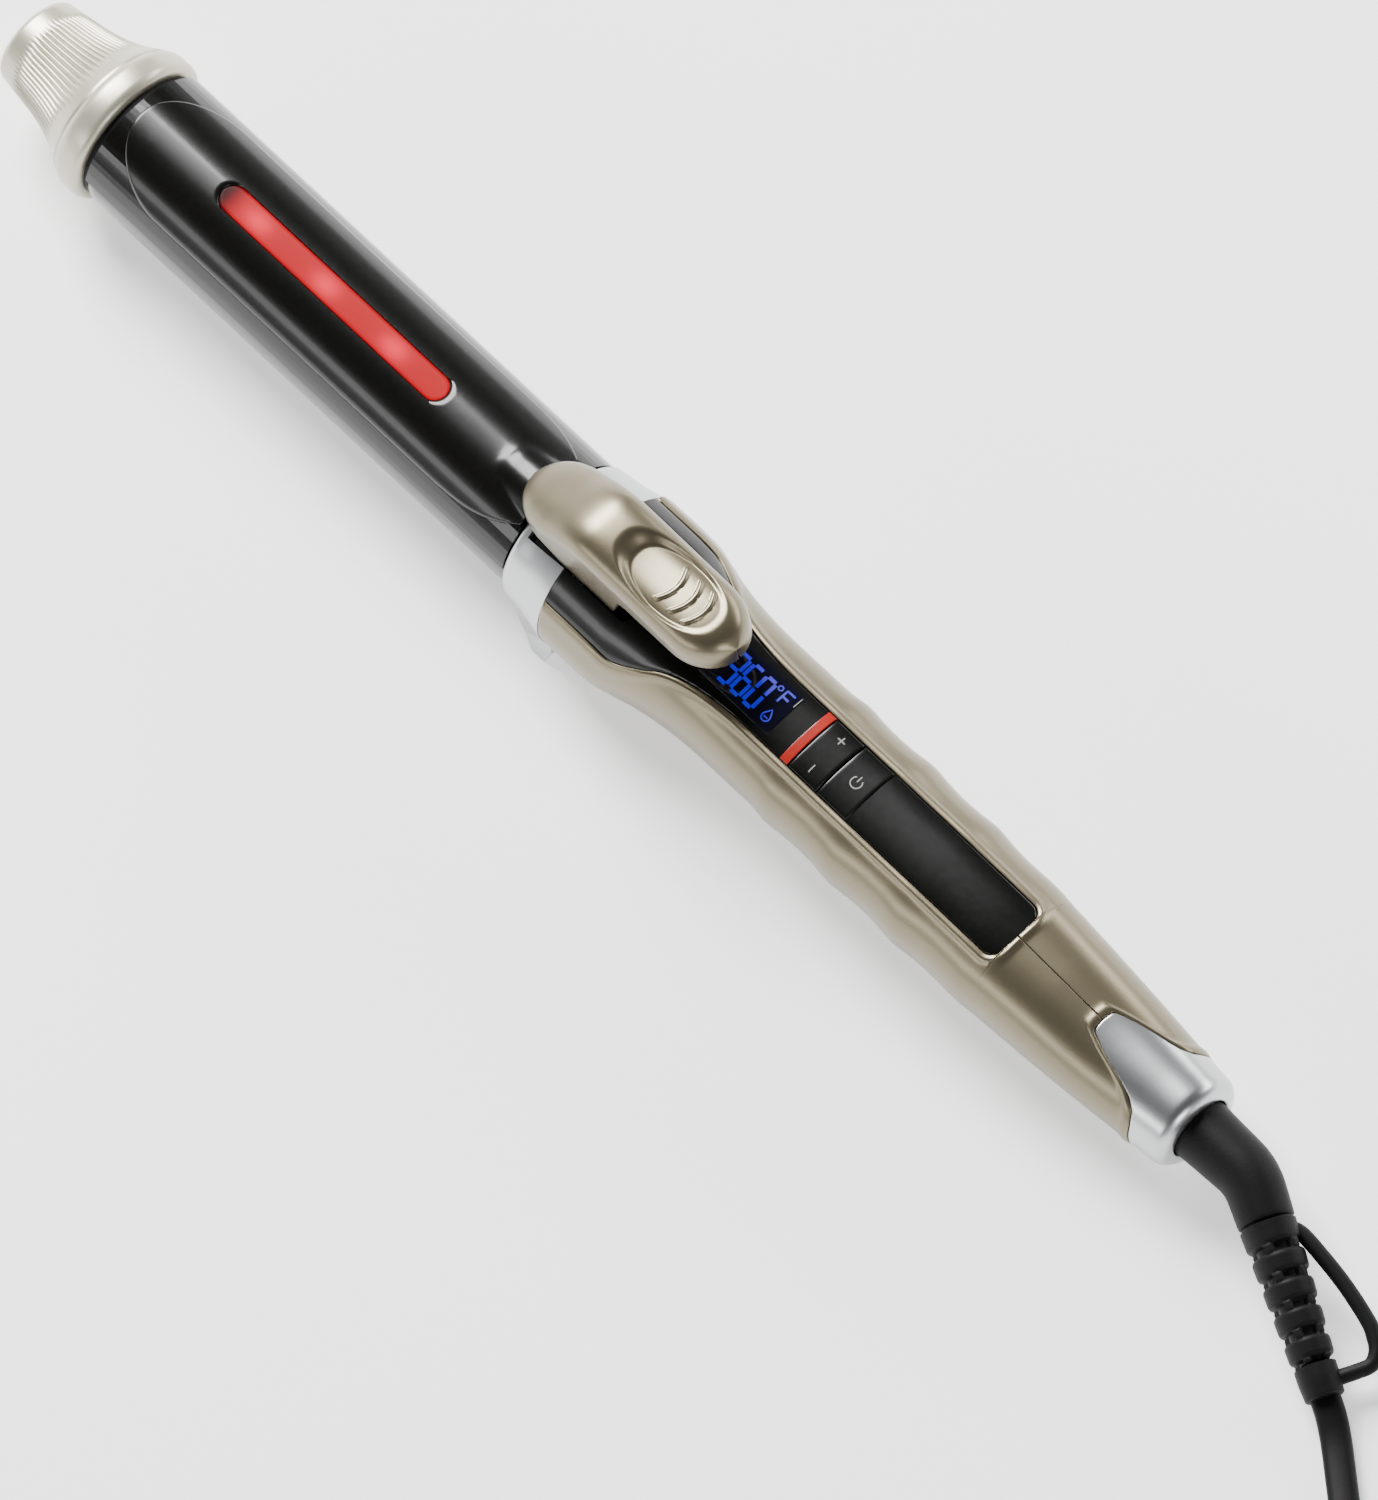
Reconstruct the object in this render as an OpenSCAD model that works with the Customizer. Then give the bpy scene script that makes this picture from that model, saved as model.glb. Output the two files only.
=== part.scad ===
/* [Barrel] */
// Outer diameter of the heated barrel
barrel_d = 31.8; // [31.4:0.1:32]
// Wall of the barrel tube
barrel_wall = 1.1; // [0.9:0.1:1.3]
// Distance from the tip to the front end of the barrel
barrel_start = 33.4; // [33.3:0.1:33.5]
// Distance from the tip to the rear end of the barrel
barrel_end = 174.2; // [173.6:0.1:174.4]

/* [Cool tip] */
// Diameter of the flange that the tip rests on
flange_d = 36; // [35.8:0.1:36.4]
// Length of the cap
tip_len = 32.1; // [32:0.1:32.2]

/* [Clip] */
// Front end of the clip plate, from the tip
clip_start = 33.8; // [33.7:0.1:34.4]
// Rear end of the clip plate
clip_end = 159.9; // [159:0.1:160]
// Half of the angle that the clip plate wraps round the barrel
clip_wrap = 71; // [68:1:74]
// Height of the cover's top above the barrel's axis
cover_top = 17.9; // [17.8:0.1:18.1]
// Radius of the cover's outer curve
cover_r = 16.5; // [16.4:0.1:16.6]
// Half width of the cover
cover_half = 13.4; // [13:0.1:13.6]
// Width of the light window
window_w = 6.2; // [5.8:0.1:6.4]
// Front end of the light window
window_start = 61; // [58:1:64]
// Rear end of the light window
window_end = 128; // [125:1:131]

/* [Lever] */
// Half width of the thumb lever
lever_half = 9; // [8.9:0.1:9.1]
// Rear end of the lever
lever_end = 218; // [217.6:0.1:218.4]
// Front end of the lever
lever_start = 155.5; // [155.3:0.1:155.7]
// Length of the lever's rounded ends
lever_tip = 11; // [10:0.5:12]
// Wall of the lever
lever_wall = 1.8; // [1.6:0.1:2]
// Distance from the tip to the hinge pin
pivot_x = 165.5; // [165.3:0.1:165.7]
// Height of the hinge pin above the barrel's axis
pivot_h = 22.5; // [22.3:0.1:22.7]
// Radius of the hinge pin
pin_r = 1.5; // [1.4:0.05:1.6]

/* [Handle] */
// Wall of the handle shells
shell_wall = 1.4; // [1.3:0.1:1.5]
// Front end of the handle shells, behind the collar
shell_start = 174; // [173.9:0.1:174.2]
// Rear end of the tail cap
tail_end = 351; // [350.8:0.1:351.2]
// Height of the scallops along the grip
scallop = 0.4; // [0:0.1:0.6]
// Distance between two scallops
scallop_pitch = 19; // [17:0.5:21]
// Half width of the black strip
strip_half = 7.2; // [7:0.1:7.4]
// Rear end of the black strip
strip_end = 298.8; // [298:0.2:300]
// Thickness of the control panel
panel_wall = 3; // [2.8:0.1:3.1]

/* [Controls] */
// Front end of the display window
display_start = 209.8; // [209.4:0.1:210]
// Rear end of the display window
display_end = 230; // [229.6:0.1:230.2]
// Width of the display window
display_w = 11.1; // [10.8:0.1:11.3]
// Front end of the accent stripe
stripe_start = 235.3; // [235:0.1:235.6]
// Rear end of the accent stripe
stripe_end = 237.7; // [237.5:0.1:237.8]
// Seam between the two keys
key_seam = 246.2; // [246:0.1:246.6]
// Rear edge of the power key
key_end = 255.2; // [255:0.1:255.6]

/* [Cord] */
// Width of the flat cord
cord_w = 6.6; // [6.2:0.2:7]
// Thickness of the flat cord
cord_t = 4.2; // [4:0.1:4.4]
// Angle of the elbow
elbow_angle = 28.8; // [26:0.2:30]
// Mean radius of the coil
coil_mean_r = 34.3; // [33.5:0.1:35]

/* [Hidden] */
$fn = 64;
axis_h = flange_d / 2;
mid_x = 188;
barrel_r = barrel_d / 2;
gap = 0.25;
hair = 0.05;
far = 400;
base_r = 15;
lever_floor = 19.9;
strap = 0.7;
well_floor = 11.2;
well_half = 9.4;
well_start = shell_start - 1;
well_end = 192;
tail_h = -3;
boot_r = 7;
neck_r = 5.5;
elbow_x = 366;
elbow_r = 14;
elbow_turn = -64;
relief_start = 11.2;
relief_end = 48.8;

// ---- helpers ----

// From distances behind the tip and heights above the barrel's axis to the part's own frame.
module place() {
    translate([-mid_x, 0, axis_h]) children();
}

// A solid of revolution or a 2D outline stood along the iron, starting at x.
module along(x) {
    translate([x, 0, 0]) rotate([90, 0, 90]) children();
}

module rod(x0, x1, r) {
    along(x0) cylinder(h = x1 - x0, r = r);
}

module ring_x(x0, x1, outer, inner) {
    along(x0) difference() {
        cylinder(h = x1 - x0, r = outer);
        translate([0, 0, -1]) cylinder(h = x1 - x0 + 2, r = inner);
    }
}

// A box from its lowest to its highest corner.
module block(low, high) {
    translate(low) cube(high - low);
}

// A cylinder across the iron at x and height h.
module cross_rod(x, h, half, r) {
    translate([x, half, h]) rotate([90, 0, 0]) cylinder(h = 2 * half, r = r);
}

module upright(x, y, h0, h1, r) {
    translate([x, y, h0]) cylinder(h = h1 - h0, r = r);
}

// A side view, with x along the iron and y up, made solid across it.
module side_profile(half) {
    translate([0, half, 0]) rotate([90, 0, 0]) linear_extrude(2 * half) children();
}

// Hands the subtree over as one mesh.
module as_mesh() {
    resize([0, 0, 0]) children();
}

function row_slope(rows, i) =
    let (a = max(i - 1, 0), b = min(i + 1, len(rows) - 1))
    (rows[b] - rows[a]) / (rows[b][0] - rows[a][0]);

function row_index(x, rows, i = 0) =
    i >= len(rows) - 2 || x < rows[i + 1][0] ? i : row_index(x, rows, i + 1);

// A smooth curve through rows that start with x.
function at(x, rows) =
    let (i = row_index(x, rows), span = rows[i + 1][0] - rows[i][0], u = (x - rows[i][0]) / span)
    (2 * u ^ 3 - 3 * u ^ 2 + 1) * rows[i] + (u ^ 3 - 2 * u ^ 2 + u) * span * row_slope(rows, i)
    + (3 * u ^ 2 - 2 * u ^ 3) * rows[i + 1] + (u ^ 3 - u ^ 2) * span * row_slope(rows, i + 1);

function curve(rows, x0, x1, n) = [for (i = [0:n]) at(x0 + (x1 - x0) * i / n, rows)];

function signed_power(v, p) = sign(v) * abs(v) ^ p;

// A closed skin through rings of equal point count.
module loft(rings) {
    n = len(rings[0]);
    m = len(rings);
    walls = [for (j = [0:m - 2], i = [0:n - 1]) let (k = (i + 1) % n)
        each [[j * n + i, j * n + k, (j + 1) * n + k], [j * n + i, (j + 1) * n + k, (j + 1) * n + i]]];
    start = [for (i = [n - 1:-1:0]) i];
    finish = [for (i = [0:n - 1]) (m - 1) * n + i];
    polyhedron(points = [for (r = rings) each r], faces = concat([start], walls, [finish]));
}

// ---- handle surface ----

// x, half width, top, depth below the axis, level of the widest point, squareness
handle_rows = [
    [168, 19.5, 19.6, 17.6, 1, 2], [187, 19.5, 19.5, 17.6, 1, 2], [193, 18.3, 18.9, 17.2, 1.4, 2],
    [198, 17, 18, 16.2, 1.8, 2.1], [204, 16, 17.1, 14.8, 2.2, 2.2], [212, 15.3, 16.4, 13.2, 2.5, 2.3],
    [222, 15.2, 15.9, 12.2, 2.6, 2.35], [250, 15.6, 14.7, 12, 2.5, 2.35], [290, 15.4, 13.5, 13, 0.5, 2.3],
    [310, 14.4, 11.6, 13.6, -0.8, 2.2], [326, 13.3, 9.4, 14, -1.8, 2.1], [340, 12.1, 8.5, 14.2, -2.6, 2],
    [351, 11.2, 8.2, 14.2, -3, 2], [360, 10.6, 7.6, 13.6, -3, 2]];

// Scallops for the fingers fade in behind the neck and out before the tail.
function scallop_at(x) =
    let (fade = max(0, min(1, (x - 226) / 10)) * max(0, min(1, (304 - x) / 24)))
    scallop * fade * (1.3 - 2 * sqrt(sin(180 * (x - 237.5) / scallop_pitch) ^ 2 + 0.03));

function handle_ring(x, inset, n) =
    let (r = at(x, handle_rows), w = r[1] + scallop_at(x) - inset, p = 2 / r[5])
    [for (i = [0:n - 1]) let (a = 360 * i / n, s = sin(a))
        [x, -w * signed_power(cos(a), p),
            r[4] + (s > 0 ? r[2] - r[4] - inset : r[3] + r[4] - inset) * signed_power(s, p)]];

function top_at(x) = at(x, handle_rows)[2];

module handle_solid(x0, x1, inset, steps, n) {
    loft([for (i = [0:steps]) handle_ring(x0 + (x1 - x0) * i / steps, inset, n)]);
}

module handle_skin(x0, x1, wall) {
    difference() {
        handle_solid(x0, x1, 0, round((x1 - x0) / 5), 40);
        handle_solid(x0 - 1, x1 + 1, wall, round((x1 - x0) / 8), 32);
    }
}

// Half widths of the panel's outline, seen from above.
panel_rows = [[187, 16], [193, 15.6], [199.8, 12.9], [203.6, 10.8], [208, 9.2], [214, 8],
    [222, 7.3], [232, strip_half]];

module panel_outline(grow) {
    side = [for (p = curve(panel_rows, 187, 232, 15)) [p[0], p[1] + grow]];
    corner = [for (a = [0:30:90]) [strip_end - 3, strip_half - 3] + (3 + grow) * [sin(a), cos(a)]];
    near = concat([[shell_start - 1, 16 + grow]], side, corner);
    far_side = [for (i = [len(near) - 1:-1:0]) [near[i][0], -near[i][1]]];
    polygon(concat(near, far_side));
}

module above(h) {
    translate([0, 0, h]) linear_extrude(far) children();
}

// Half widths of the tail cap's outline, seen from above and from below.
tail_rows = [[323.6, 2.4], [324.2, 3.1], [330, 5], [335.5, 6.3], [338.6, 7.3], [340.8, 8.8], [341.8, 11],
    [342, 15]];

module tail_outline(grow) {
    near = concat([for (p = tail_rows) [p[0] - grow, p[1] + grow]], [[far, 15]]);
    polygon(concat(near, [for (i = [len(near) - 1:-1:0]) [near[i][0], -near[i][1]]]));
}

// ---- barrel and tip ----

tip_rows = [[2, 10.4], [7.5, 11.2], [12, 11.9], [16.4, 13], [20.8, 14.8], [25.2, 17.2]];

module cool_tip_cap() {
    flange_r = flange_d / 2;
    edge = [for (a = [0:22.5:90]) [8.3 + 2.1 * sin(a), 2 - 2 * cos(a)]];
    flare = [for (p = curve(tip_rows, 3, 25.2, 14)) [p[1], p[0]]];
    rear = [for (a = [0:22.5:90]) [flange_r - 1.6 + 1.6 * cos(a), tip_len - 1.6 + 1.6 * sin(a)]];
    inside = [[14.6, tip_len], [14.6, 26], [12.4, 22], [10.4, 17], [9, 10], [8.4, 3]];
    flange = [[flange_r - 0.5, 25.9], [flange_r, 26.5]];
    boss = [[3.6, 3], [3.6, tip_len - 5], [1.5, tip_len - 5], [1.5, 14], [0, 14]];
    color([0.82, 0.81, 0.76]) place() rotate([0, 90, 0]) rotate_extrude()
        polygon(concat([[0, 0]], edge, flare, flange, rear, inside, boss));
}

module tip_insulator_ring() {
    color([0.12, 0.12, 0.12]) place() rotate([0, 90, 0]) rotate_extrude()
        polygon([[4, tip_len - 3], [14.4, tip_len - 3], [14.4, tip_len], [15.5, tip_len + 0.05],
            [15.5, barrel_start], [4, barrel_start]]);
}

module tip_screw() {
    color("silver") place() {
        rod(16, 38.2, 1.4);
        difference() {
            rod(38, 40.2, 3);
            rod(39.2, 41, 1.3);
        }
    }
}

module barrel() {
    color([0.08, 0.08, 0.08]) place() ring_x(barrel_start, barrel_end, barrel_r, barrel_r - barrel_wall);
}

module barrel_nose_plug() {
    color("gray") place() ring_x(barrel_start + 0.5, 38, barrel_r - barrel_wall - hair, 1.6);
}

// Half-round bodies that carry heat from the heater to the barrel.
module spreader(side) {
    bore_r = barrel_r - barrel_wall - 0.1;
    difference() {
        rod(52, 140, bore_r);
        block([50, -20, side > 0 ? -20 : -1.7], [142, 20, side > 0 ? 1.7 : 20]);
        translate([0, 0, side * 9]) rod(120, 142, 1.3);
        translate([0, 5, side * 8.5]) rod(50, 142, 2.2);
        translate([0, -5, side * 8.5]) rod(50, 142, 2.2);
    }
}

module heat_spreader_upper() {
    color("lightgray") place() spreader(1);
}

module heat_spreader_lower() {
    color("lightgray") place() spreader(-1);
}

module ptc_heater() {
    color([0.75, 0.55, 0.2]) place() block([56, -8, -1.6], [136, 8, 1.6]);
}

module thermistor() {
    color("ivory") place() translate([0, 0, 9]) {
        rod(122, 130, 1.1);
        rod(129.5, 168, 0.5);
    }
}

module thermal_fuse() {
    color("white") place() translate([0, 0, -4]) {
        rod(148, 159, 2);
        rod(158.5, 200, 0.6);
    }
}

module heater_leads() {
    color([0.85, 0.2, 0.15]) place() for (y = [-3, 3]) translate([0, y, 0]) rod(136, 204, 0.9);
}

module barrel_base_insulator() {
    color([0.93, 0.9, 0.8]) place() {
        ring_x(162, 175, barrel_r - barrel_wall - 0.1, 10.5);
        ring_x(174, 177, base_r, 10.5);
    }
}

// ---- collar and hinge ----

collar_front = 160.2;
collar_rear = 173.7;
// x, outer radius of the collar
collar_rows = [[161.6, 17.5], [166, 17.9], [170, 18.7], [173.7, 19.5]];

// One stand foot: a fin that flares from the ring down to the table.
module foot(side) {
    reach = [[14.2, 9], [15.4, 8], [17.2, -3], [17.3, -9], [17.8, -14], [18.9, -axis_h],
        [15.4, -axis_h], [13, -14.4], [11.6, -12.6],
        for (a = [-42:17:26]) 16.5 * [cos(a), sin(a)]];
    fin = [[162.6, -4], [163.4, -8], [165, -12.6], [167, -16], [168.2, -axis_h], [172, -axis_h],
        [collar_rear, -13], [collar_rear, -4]];
    intersection() {
        along(150) linear_extrude(30) polygon([for (p = reach) [side * p[0], p[1]]]);
        side_profile(25) polygon(fin);
    }
}

module collar_ring() {
    round_r = 1.4;
    bore_r = barrel_r + 0.15;
    edge = [for (a = [0:22.5:90]) [bore_r + round_r * sin(a), collar_front + round_r * (1 - cos(a))]];
    body = [for (p = curve(collar_rows, 162.5, collar_rear, 6)) [p[1], p[0]]];
    color([0.78, 0.79, 0.8]) place() as_mesh() difference() {
        union() {
            intersection() {
                rotate([0, 90, 0]) rotate_extrude($fn = 80)
                    polygon(concat(edge, body, [[bore_r, collar_rear]]));
                block([150, -30, -17.75], [180, 30, 30]);
            }
            foot(1);
            foot(-1);
        }
        block([162.4, -9.4, 0], [180, 9.4, 30]);
    }
}

module hinge_bracket() {
    color("silver") place() {
        difference() {
            union() {
                block([162.6, -5.4, 16.1], [172, 5.4, 17.3]);
                for (y = [-4.8, 4.8]) translate([0, y, 0]) side_profile(0.6)
                    polygon([[162.6, 17.2], [pivot_x - 2.6, pivot_h], [pivot_x - 2, pivot_h + 2],
                        [pivot_x + 2, pivot_h + 2], [pivot_x + 2.6, pivot_h], [169.2, 17.2]]);
            }
            cross_rod(pivot_x, pivot_h, 10, pin_r + hair);
        }
    }
}

module hinge_pin() {
    color("gainsboro") place() {
        cross_rod(pivot_x, pivot_h, 5.6, pin_r);
        for (y = [-5.7, 5.7]) translate([0, y, 0]) cross_rod(pivot_x, pivot_h, 0.25, pin_r + 0.6);
    }
}

// Helical spring between the well's floor and the clip bracket.
spring_x = 183.6;
spring_turns = 5;

function helix_point(t, r, h0, h1) =
    [spring_x + r * cos(360 * spring_turns * t), r * sin(360 * spring_turns * t), h0 + (h1 - h0) * t];

module lever_spring() {
    wire = 0.4;
    r = 2.8;
    steps = 60;
    low = well_floor + wire + hair;
    high = lever_floor - wire - hair;
    rings = [for (i = [0:steps])
        let (t = i / steps, p = helix_point(t, r, low, high), turn = 360 * spring_turns * t)
        let (out = [cos(turn), sin(turn), 0])
        [for (a = [0:60:300]) p + wire * (cos(a) * out + sin(a) * [0, 0, 1])]];
    color("silver") place() loft(rings);
}

// ---- handle ----

module screw_posts(side, r, from, to) {
    for (x = [213, 262, 312]) translate([x, side * from, -6.5]) rotate([-side * 90, 0, 0])
        cylinder(h = to - from, r = r, $fn = 24);
}

module handle_half(side) {
    as_mesh() difference() {
        intersection() {
            handle_skin(shell_start, 342.4, shell_wall);
            block([100, side > 0 ? 0 : -40, -40], [far, side > 0 ? 40 : 0, 40]);
        }
        above(3) panel_outline(0.1);
        translate([0, 0, -40]) linear_extrude(80) tail_outline(0.12);
    }
    as_mesh() intersection() {
        difference() {
            screw_posts(side, 2.6, 0, 14);
            screw_posts(side, 1.3, -1, 15);
        }
        handle_solid(shell_start, 342, shell_wall - 0.3, 24, 32);
    }
}

module handle_shell_left() {
    color([0.64, 0.62, 0.54]) place() handle_half(1);
}

module handle_shell_right() {
    color([0.64, 0.62, 0.54]) place() handle_half(-1);
}

// The stretch of handle skin between two distances, kept inside the strip, down to a depth.
module skin_patch(x0, x1, half, depth_out, depth_in) {
    intersection() {
        difference() {
            handle_solid(x0 - 3, x1 + 3, depth_out, 6, 40);
            handle_solid(x0 - 4, x1 + 4, depth_in, 6, 40);
        }
        block([x0, -half, 3], [x1, half, 40]);
    }
}

module control_panel() {
    color([0.06, 0.06, 0.06]) place() as_mesh() difference() {
        union() {
            intersection() {
                handle_skin(shell_start, strip_end + 2, panel_wall);
                above(5) panel_outline(0);
            }
            block([178, -11.2, well_floor - 1.2], [well_end + 1.4, 11.2, 16.5]);
        }
        block([well_start, -well_half, well_floor], [well_end, well_half, 40]);
        skin_patch(display_start - 0.1, display_end + 0.1, display_w / 2 + 0.1, -1, 1.1);
        block([display_start + 1, -4.6, 5], [display_end - 1, 4.6, 30]);
        skin_patch(stripe_start, stripe_end, 9, -1, 1);
        skin_patch(stripe_end + 0.1, key_end, 9, -1, 2);
        block([240, -5.4, 5], [244, 5.4, 30]);
        block([248.6, -2.4, 5], [252.8, 2.4, 30]);
    }
}

module display_window() {
    color([0.05, 0.03, 0.12]) place() as_mesh()
        skin_patch(display_start, display_end, display_w / 2, 0, 1.05);
}

module display_module() {
    color([0.1, 0.1, 0.3]) place() block([display_start + 1.3, -4.4, 9.2], [display_end - 1.3, 4.4, 13.6]);
}

module accent_stripe() {
    color([0.75, 0.18, 0.14]) place() as_mesh()
        skin_patch(stripe_start + 0.05, stripe_end - 0.05, strip_half - 0.05, 0, 0.95);
}

module display_board() {
    color([0.1, 0.35, 0.2]) place() block([206, -7.5, 7.6], [258, 7.5, 8.8]);
}

module tact_switches() {
    color("dimgray") place() {
        for (y = [-4, 4]) block([240.5, y - 1.3, 8.85], [243.5, y + 1.3, 10.4]);
        block([249.2, -1.5, 8.85], [252.2, 1.5, 10.4]);
    }
}

module power_board() {
    color([0.1, 0.35, 0.2]) place() block([222, -9.5, -3.85], [302, 9.5, -2.8]);
}

module power_components() {
    color("dimgray") place() {
        block([268, -7, -2.75], [282, 1, 3]);
        translate([250, 4, -2.75]) cylinder(h = 8, r = 4);
        block([230, -6, -2.75], [235, 4, 6]);
        block([286, -8, -2.75], [290, 6, 1.5]);
    }
}

module terminal_block() {
    color([0.2, 0.45, 0.25]) place() block([293, -6, -2.75], [301, 6, 3.2]);
}

module shell_screws() {
    color("silver") place() for (x = [213, 262, 312]) {
        translate([x, -9, -6.5]) rotate([-90, 0, 0]) cylinder(h = 18, r = 1.1);
        translate([x, -9.5, -6.5]) rotate([-90, 0, 0]) cylinder(h = 0.6, r = 1.25);
    }
}

// ---- tail and swivel ----

module tail_cap() {
    rim_r = 8;
    round_r = 3.2;
    rim = [for (a = [0:22.5:90]) [rim_r + round_r * sin(a), round_r * cos(a) - round_r]];
    color([0.7, 0.71, 0.72]) place() as_mesh() difference() {
        intersection() {
            difference() {
                handle_solid(322, tail_end, 0, 12, 40);
                handle_solid(321, tail_end - 2, 1.6, 10, 32);
            }
            translate([0, 0, -40]) linear_extrude(80) tail_outline(0);
        }
        translate([tail_end, 0, tail_h]) rotate([0, 90, 0]) rotate_extrude($fn = 40)
            polygon(concat([[rim_r, 1]], rim, [[14, -round_r], [14, 1]]));
        translate([0, 0, tail_h]) rod(340, 360, boot_r + gap);
    }
}

module swivel_bush() {
    color([0.9, 0.88, 0.8]) place() translate([0, 0, tail_h])
        ring_x(338.3, tail_end - 2.2, 8.4, neck_r + hair);
}

module slip_ring_brushes() {
    color("goldenrod") place() for (x = [326.2, 331.2]) {
        block([x - 1, -2, tail_h + 3.85], [x + 1, 2, tail_h + 4.3]);
        block([x - 1, 1.5, tail_h + 4.2], [x + 1, 2, tail_h + 7]);
    }
}

// From the elbow's corner, with x running down the strain relief.
module down_relief() {
    translate([elbow_x, 0, tail_h]) rotate([elbow_turn, 0, 0]) rotate([0, elbow_angle, 0]) children();
}

// A round ring about a point p, facing along d.
function tube_ring(p, d, r, n) =
    let (f = d / norm(d), side = cross(f, [0, 0, 1]) / norm(cross(f, [0, 0, 1])), up = cross(side, f))
    [for (i = [0:n - 1]) p + r * (cos(360 * i / n) * side + sin(360 * i / n) * up)];

relief_dir = [cos(elbow_angle), sin(elbow_angle) * sin(elbow_turn), -sin(elbow_angle) * cos(elbow_turn)];

module swivel_elbow() {
    corner = [elbow_x, 0, tail_h];
    set_back = elbow_r * tan(elbow_angle / 2);
    inward = (relief_dir - [cos(elbow_angle), 0, 0]) / sin(elbow_angle);
    bend_start = corner - [set_back, 0, 0];
    straight = [[tail_end - 2, boot_r], [352.5, boot_r], [357, 6.8]];
    bend = [for (a = [0:elbow_angle / 6:elbow_angle])
        tube_ring(bend_start + elbow_r * (sin(a) * [1, 0, 0] + (1 - cos(a)) * inward),
            cos(a) * [1, 0, 0] + sin(a) * inward, 6.6, 32)];
    color([0.1, 0.1, 0.1]) place() as_mesh() {
        loft(concat(
            [for (s = straight) tube_ring([s[0], 0, tail_h], [1, 0, 0], s[1], 32)],
            bend,
            [tube_ring(corner + (relief_start - 0.4) * relief_dir, relief_dir, 6.1, 32)]));
        translate([0, 0, tail_h]) {
            rod(322, 337, 2.9);
            rod(336, 338.05, 7.2);
            rod(338, tail_end - 1, neck_r);
        }
    }
}

module slip_rings() {
    color("gold") place() translate([0, 0, tail_h])
        for (x = [326.2, 331.2]) ring_x(x - 1.3, x + 1.3, 3.7, 2.95);
}

module strain_relief() {
    rings = 5;
    pitch = 6.2;
    color([0.1, 0.1, 0.1]) place() down_relief() {
        along(relief_start - 0.4) cylinder(h = relief_end - relief_start + 0.4, r1 = 4.6, r2 = 3.7);
        for (i = [0:rings - 1]) along(relief_start + i * pitch) cylinder(h = 4.6, r = 6 - 0.25 * i);
        along(relief_end - 7) cylinder(h = 7, r1 = 4.7, r2 = 4.3);
    }
}

// Points of the loop: away from the relief, out along it and back to its end collar.
loop_points = [[12.6, 4], [14, 5.6], [17, 7.2], [27, 10.9], [36, 13.8], [39.6, 14.4], [42.2, 14.2],
    [44.2, 12.8], [45.2, 10.6], [45.4, 8], [45.4, 3.4]];
loop_r = 1.7;

module hang_loop() {
    color([0.1, 0.1, 0.1]) place() down_relief() rotate([-22, 0, 0]) {
        loft([for (i = [0:len(loop_points) - 1])
            let (p = loop_points[i], next = loop_points[min(i + 1, len(loop_points) - 1)])
            let (d = next - loop_points[max(i - 1, 0)], out = [-d[1], 0, d[0]] / norm(d))
            [for (a = [0:30:330]) [p[0], 0, p[1]] + loop_r * (cos(a) * out - sin(a) * [0, 1, 0])]]);
    }
}

// ---- clip ----

module clip_sector() {
    reach = 40;
    polygon([[0, 0], [-reach * sin(clip_wrap), reach * cos(clip_wrap)], [-reach, reach * 1.5],
        [reach, reach * 1.5], [reach * sin(clip_wrap), reach * cos(clip_wrap)]]);
}

plate_rise = 0.3;
plate_r = 16.6;
rivet_x = [151.2, 155.6];
rivet_r = 1.2;

module clip_plate() {
    color([0.07, 0.07, 0.07]) place() difference() {
        along(clip_start) linear_extrude(clip_end - clip_start) intersection() {
            difference() {
                translate([0, plate_rise]) circle(plate_r, $fn = 128);
                circle(barrel_r + gap, $fn = 128);
            }
            clip_sector();
        }
        for (x = rivet_x) upright(x, 0, 10, 25, rivet_r + hair);
        block([window_start - 1, -4, 10], [146, 4, 25]);
    }
}

cover_front = 35.9;
cover_c = cover_top - cover_r;

module cover_outline() {
    nose = 17;
    front = [for (a = [0:15:90]) [cover_front + nose * (1 - cos(a)), cover_half * sin(a)]];
    rear_rows = [[138, cover_half], [146, 13], [151.5, 12], [156, 10.4], [clip_end, 8.4]];
    rear = curve(rear_rows, 138, clip_end - 0.3, 8);
    near = concat(front, rear);
    polygon(concat(near, [for (i = [len(near) - 1:-1:1]) [near[i][0], -near[i][1]]]));
}

module slot_outline(grow) {
    r = window_w / 2;
    for (x = [window_start + r, window_end - r]) translate([x, 0]) circle(r + grow);
    translate([window_start + r, -r - grow]) square([window_end - window_start - 2 * r, 2 * (r + grow)]);
}

module clip_cover() {
    inner_r = cover_r - 0.9;
    hump_x = 151;
    hump_h = 10.6;
    hump_r = 8.4;
    color([0.05, 0.05, 0.05]) place() difference() {
        union() {
            intersection() {
                translate([0, 0, cover_c]) rod(cover_front - 2, clip_end, cover_r);
                above(8) cover_outline();
            }
            translate([hump_x, 0, hump_h]) sphere(hump_r);
            translate([hump_x, 0, hump_h]) rotate([0, 82, 0]) cylinder(h = 8, r = hump_r);
        }
        translate([0, 0, plate_rise]) rod(30, 162, plate_r + hair);
        translate([0, 0, cover_c]) rod(cover_front + 3, 146.4, inner_r);
        block([148.7, -3.1, 10], [162, 3.1, 17.8]);
        for (x = rivet_x) upright(x, 0, 10, 18.15, 2.1);
        block([158, -4.2, 16], [170, 4.2, 30]);
        block([159.4, -20, 10], [170, 20, 30]);
        above(15) slot_outline(0);
    }
}

module light_window() {
    color([0.8, 0.1, 0.1]) place() translate([0, 0, 16.95]) linear_extrude(0.4) slot_outline(-0.03);
}

module lamp_strip() {
    color([0.85, 0.8, 0.7]) place() block([63, -2.9, 16.2], [145, 2.9, 16.4]);
}

module lamps() {
    color("pink") place() for (x = [71.5, 92, 112.5]) block([x - 1.4, -1.4, 16.42], [x + 1.4, 1.4, 16.9]);
}

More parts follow.
